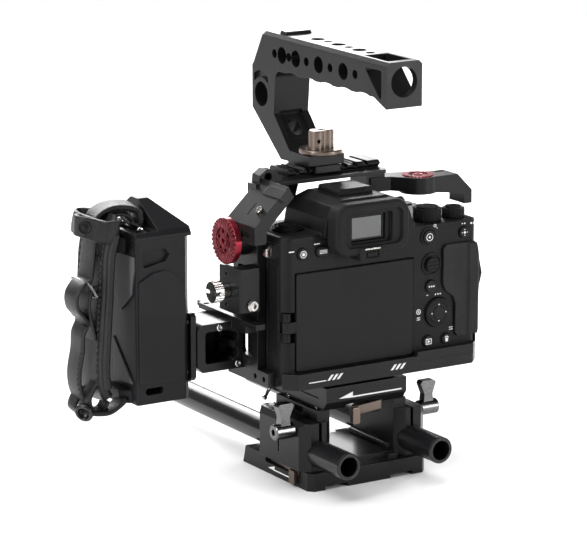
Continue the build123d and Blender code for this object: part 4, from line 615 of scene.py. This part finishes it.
def rear_marks():
    """Generic white symbols beside the controls: rings, dots, bars and small pictures."""
    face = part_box("camera_rear_shell")[0].y
    symbols = [
        ring_outline(37.2, 90.2, 1.5, 0.4), disc_outline(37.2, 90.2, 0.5, 12), bar(36.1, 38.3, 86.6, 87.0),
        bar(36.1, 38.3, 85.5, 85.9), disc_outline(48.4, 98.9, 0.45, 12), disc_outline(50.0, 98.9, 0.45, 12),
        disc_outline(51.6, 98.9, 0.45, 12), disc_outline(66.0, 137.0, 0.4, 12), disc_outline(67.6, 137.0, 0.4, 12),
        bar(71.4, 72.6, 136.2, 137.2), bar(73.2, 74.4, 136.2, 137.2),
        bar(42.4, 43.6, 98.8, 99.2), bar(57.8, 60.4, 78.6, 79.0), bar(57.8, 60.4, 77.4, 77.8),
        bar(-47.2, -43.8, 133.8, 134.4), bar(-31.2, -27.6, 136.4, 137.0),
    ]
    symbols += magnifier(47.6, 138.0, 0.9)
    flat_shapes("rear_symbols", symbols, Vector((0.0, face, 0.0)), (1, 0, 0), (0, 0, 1), 0.05, "white", "cage")


def button_marks():
    """One small symbol on each rear button's face."""
    shapes = {
        "custom_button": [disc_outline(0, 0, 0.9), ring_outline(0, 0, 2.0, 0.35)],
        "menu_button": [bar(-2.4, 2.4, -0.9, -0.5), bar(-2.4, 2.4, -0.1, 0.3), bar(-2.4, 2.4, 0.7, 1.1)],
        "af_button": [ring_outline(0, 0, 2.2, 0.4), disc_outline(0, 0, 0.7)],
        "ael_button": [disc_outline(0, 0, 0.7)] + [disc_outline(1.6 * a, 1.6 * b, 0.3, 10)
                                                   for a, b in ((1, 0), (-1, 0), (0, 1), (0, -1))],
        "fn_button": [disc_outline(-1.5, 0, 0.5, 14), disc_outline(0, 0, 0.5, 14), disc_outline(1.5, 0, 0.5, 14)],
        "play_button": [[(-0.7, -0.9), (1.1, 0.0), (-0.7, 0.9)], bar(-1.9, 1.9, 1.2, 1.6), bar(-1.9, 1.9, -1.6, -1.2),
                        bar(-1.9, -1.5, -1.2, 1.2), bar(1.5, 1.9, -1.2, 1.2)],
        "delete_button": [bar(-1.3, 1.3, 0.9, 1.3), [(-1.0, 0.5), (-0.7, -1.5), (0.7, -1.5), (1.0, 0.5)],
                          bar(-0.4, 0.4, 1.5, 1.8)],
    }
    for name, outlines in shapes.items():
        low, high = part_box(name)
        centre = Vector(((low.x + high.x) / 2, low.y, (low.z + high.z) / 2))
        flat_shapes(name.replace("button", "symbol"), outlines, centre, (1, 0, 0), (0, 0, 1), 0.04, "white", name)


def arrow(length, head, shaft):
    """Arrow pointing towards minus, centred on its length."""
    half = length / 2
    return [(half, -shaft / 2), (half, shaft / 2), (-half + head, shaft / 2), (-half + head, head * 0.32), (-half, 0.0),
            (-half + head, -shaft / 2)]


def rig_marks():
    base_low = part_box("base_plate")[0]
    qr_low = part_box("qr_receiver")[0]
    cage_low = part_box("cage_base")[0]
    slant = [bar(0.0, 1.6, -1.5, 1.5, 2.6), bar(3.0, 4.6, -1.5, 1.5, 2.6), bar(6.0, 7.6, -1.5, 1.5, 2.6)]
    flat_shapes("base_arrow", [arrow(25.0, 7.0, 0.7)], Vector((base_low.x, -2.2 * MM, 3.3 * MM)), (0, -1, 0), (0, 0, 1),
                0.05, "white", "base")
    flat_shapes("release_arrow", [arrow(41.0, 9.0, 0.8)], Vector((2.4 * MM, qr_low.y, 49.6 * MM)), (1, 0, 0), (0, 0, 1),
                0.05, "white", "clamp")
    for side, x in (("left", -25.6), ("right", 15.6)):
        flat_shapes(f"cage_stripes_{side}", slant, Vector((x * MM, cage_low.y, 62.4 * MM)), (1, 0, 0), (0, 0, 1),
                    0.05, "white", "cage")
    flat_shapes("cage_line", [bar(-37.4, -26.4, -1.5, -1.0)], Vector((0.0, cage_low.y, 62.4 * MM)), (1, 0, 0),
                (0, 0, 1), 0.05, "white", "cage")


def control_trim():
    """Rims round the joystick and the large button, ribs and dots of the control wheel, rings on the dials."""
    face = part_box("camera_rear_shell")[0].y
    low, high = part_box("joystick")
    jx, jz = (low.x + high.x) / 2 / MM, (low.z + high.z) / 2 / MM
    flat_shapes("joystick_surround", [ring_outline(jx, jz, 6.6, 1.2)], Vector((0, face, 0)), (1, 0, 0), (0, 0, 1), 0.7,
                "camera", "cage", bevel=0.0002)
    low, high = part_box("af_button")
    collar = ring_outline((low.x + high.x) / 2 / MM, (low.z + high.z) / 2 / MM, 5.3, 1.0)
    flat_shapes("af_button_collar", [collar], Vector((0, face, 0)), (1, 0, 0), (0, 0, 1), 0.8, "button", "cage",
                bevel=0.0002)
    low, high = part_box("control_wheel")
    centre = Vector(((low.x + high.x) / 2, low.y, (low.z + high.z) / 2))
    ribs = []
    for k in range(40):
        turn = 2 * math.pi * k / 40
        along = Vector((math.cos(turn), math.sin(turn)))
        aside = Vector((-math.sin(turn), math.cos(turn)))
        ribs.append([tuple(along * a + aside * b) for a, b in ((5.3, -0.2), (7.8, -0.26), (7.8, 0.26), (5.3, 0.2))])
    flat_shapes("wheel_ribs", ribs, centre, (1, 0, 0), (0, 0, 1), 0.3, "button", "control_wheel")
    dots = [disc_outline(4.65 * math.cos(a), 4.65 * math.sin(a), 0.4, 10) for a in (0.0, math.pi / 2, math.pi,
                                                                                   1.5 * math.pi)]
    flat_shapes("wheel_dots", dots, centre, (1, 0, 0), (0, 0, 1), 0.08, "white", "control_wheel")
    for name in ("mode_dial", "exposure_dial"):
        low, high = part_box(name)
        top = Vector(((low.x + high.x) / 2, (low.y + high.y) / 2, high.z))
        radius = (high.x - low.x) / 2 / MM - 1.6
        rings = [ring_outline(0, 0, radius - 0.6, 0.35), ring_outline(0, 0, radius * 0.55, 0.3)]
        flat_shapes(f"{name}_rings", rings, top, (1, 0, 0), (0, 1, 0), 0.12, "button", name)
        flat_shapes(f"{name}_index", [bar(-0.2, 0.2, radius - 2.4, radius - 1.2)], top, (1, 0, 0), (0, 1, 0), 0.14,
                    "white", name)


def small_screws():
    """Screws seen under the top plate, in the bracket and in the towers."""
    head = [(2.0, -0.4), (2.0, 0.5), (1.5, 1.1), (0.9, 1.1), (0.8, 0.4), (0.1, 0.4)]
    places = {
        "top_plate_screw_left": (mm(-34.5, 24.9, 158.6), (0, -1, 0), "cage"),
        "top_plate_screw_low": (mm(-30.0, 24.9, 153.4), (0, -1, 0), "cage"),
        "bracket_screw_high": (mm(-70.8, 8.0, 88.2), (0, -1, 0), "cage"),
        "bracket_screw_low": (mm(-59.2, 8.0, 66.8), (0, -1, 0), "cage"),
    }
    for name, (at, axis, body) in places.items():
        lathe(name, head, at, axis, "steel", body, 24)
    lathe("safety_pin", [(1.6, 0.0), (1.6, 3.0), (1.1, 3.4), (1.1, 8.6), (1.6, 9.0), (1.6, 10.6), (0.1, 11.0)],
          mm(-25.6, 26.0, 46.9), (-0.573, 0.0, -0.82), "steel", "clamp", 24)
    for side in (-1, 1):
        for k, y in enumerate((-20.0, 9.0)):
            lathe(f"tower_screw_{'left' if side < 0 else 'right'}_{k + 1}", head, mm(side * 24.6, y, 43.0), (0, 0, 1),
                  "steel", "clamp", 24)


def lens_mount_trim():
    """Bayonet contacts on their shelf and the mount screws on the front."""
    low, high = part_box("lens_mount_ring")
    centre = Vector((0.0, high.y, (low.z + high.z) / 2))
    pins = [disc_outline(18.6 * math.cos(math.radians(a)), 18.6 * math.sin(math.radians(a)), 0.55, 10)
            for a in range(246, 295, 5)]
    shelf = ring_outline(0, 0, 20.6, 3.6, 240, 60, 24)
    flat_shapes("mount_contact_shelf", [shelf], centre - mm(0, 8.0, 0), (-1, 0, 0), (0, 0, 1), 2.0, "button", "cage")
    flat_shapes("mount_contacts", pins, centre - mm(0, 6.0, 0), (-1, 0, 0), (0, 0, 1), 0.25, "gold", "cage")
    for k, turn in enumerate((20, 110, 200, 290)):
        at = centre + mm(26.6 * math.cos(math.radians(turn)), -1.0, 26.6 * math.sin(math.radians(turn)))
        lathe(f"mount_screw_{k + 1}", [(1.0, 0.0), (1.0, 0.55), (0.8, 0.8), (0.35, 0.8), (0.3, 0.4), (0.05, 0.4)], at,
              (0, 1, 0), "steel", "cage", 20)


def eyecup_trim():
    """Frame round the viewfinder window and the bright edge of the eyecup's latch."""
    low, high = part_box("viewfinder_window")
    wide, tall = (high.x - low.x) / 2 / MM, (high.z - low.z) / 2 / MM
    centre = Vector(((low.x + high.x) / 2, low.y, (low.z + high.z) / 2))
    sides = [bar(-wide, wide, -tall, 1.0 - tall), bar(-wide, wide, tall - 1.0, tall),
             bar(-wide, 1.0 - wide, 1.0 - tall, tall - 1.0), bar(wide - 1.0, wide, 1.0 - tall, tall - 1.0)]
    flat_shapes("finder_frame", sides, centre, (1, 0, 0), (0, 0, 1), 0.5, "button", "cage")
    latch = Vector((-2.0 * MM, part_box("eyecup")[0].y, 133.4 * MM))
    flat_shapes("latch_edge", [bar(-5.0, 5.0, -0.35, 0.35)], latch, (1, 0, 0), (0, 0, 1), 0.15, "steel", "cage")


LOOK = {}


def main():
    make_camera()
    LOOK.update(make_materials())
    make_studio()
    dress_cad_nodes()
    hand_strap()
    monitor_screen()
    rear_marks()
    button_marks()
    rig_marks()
    lens_mount_trim()
    eyecup_trim()
    control_trim()
    small_screws()


main()
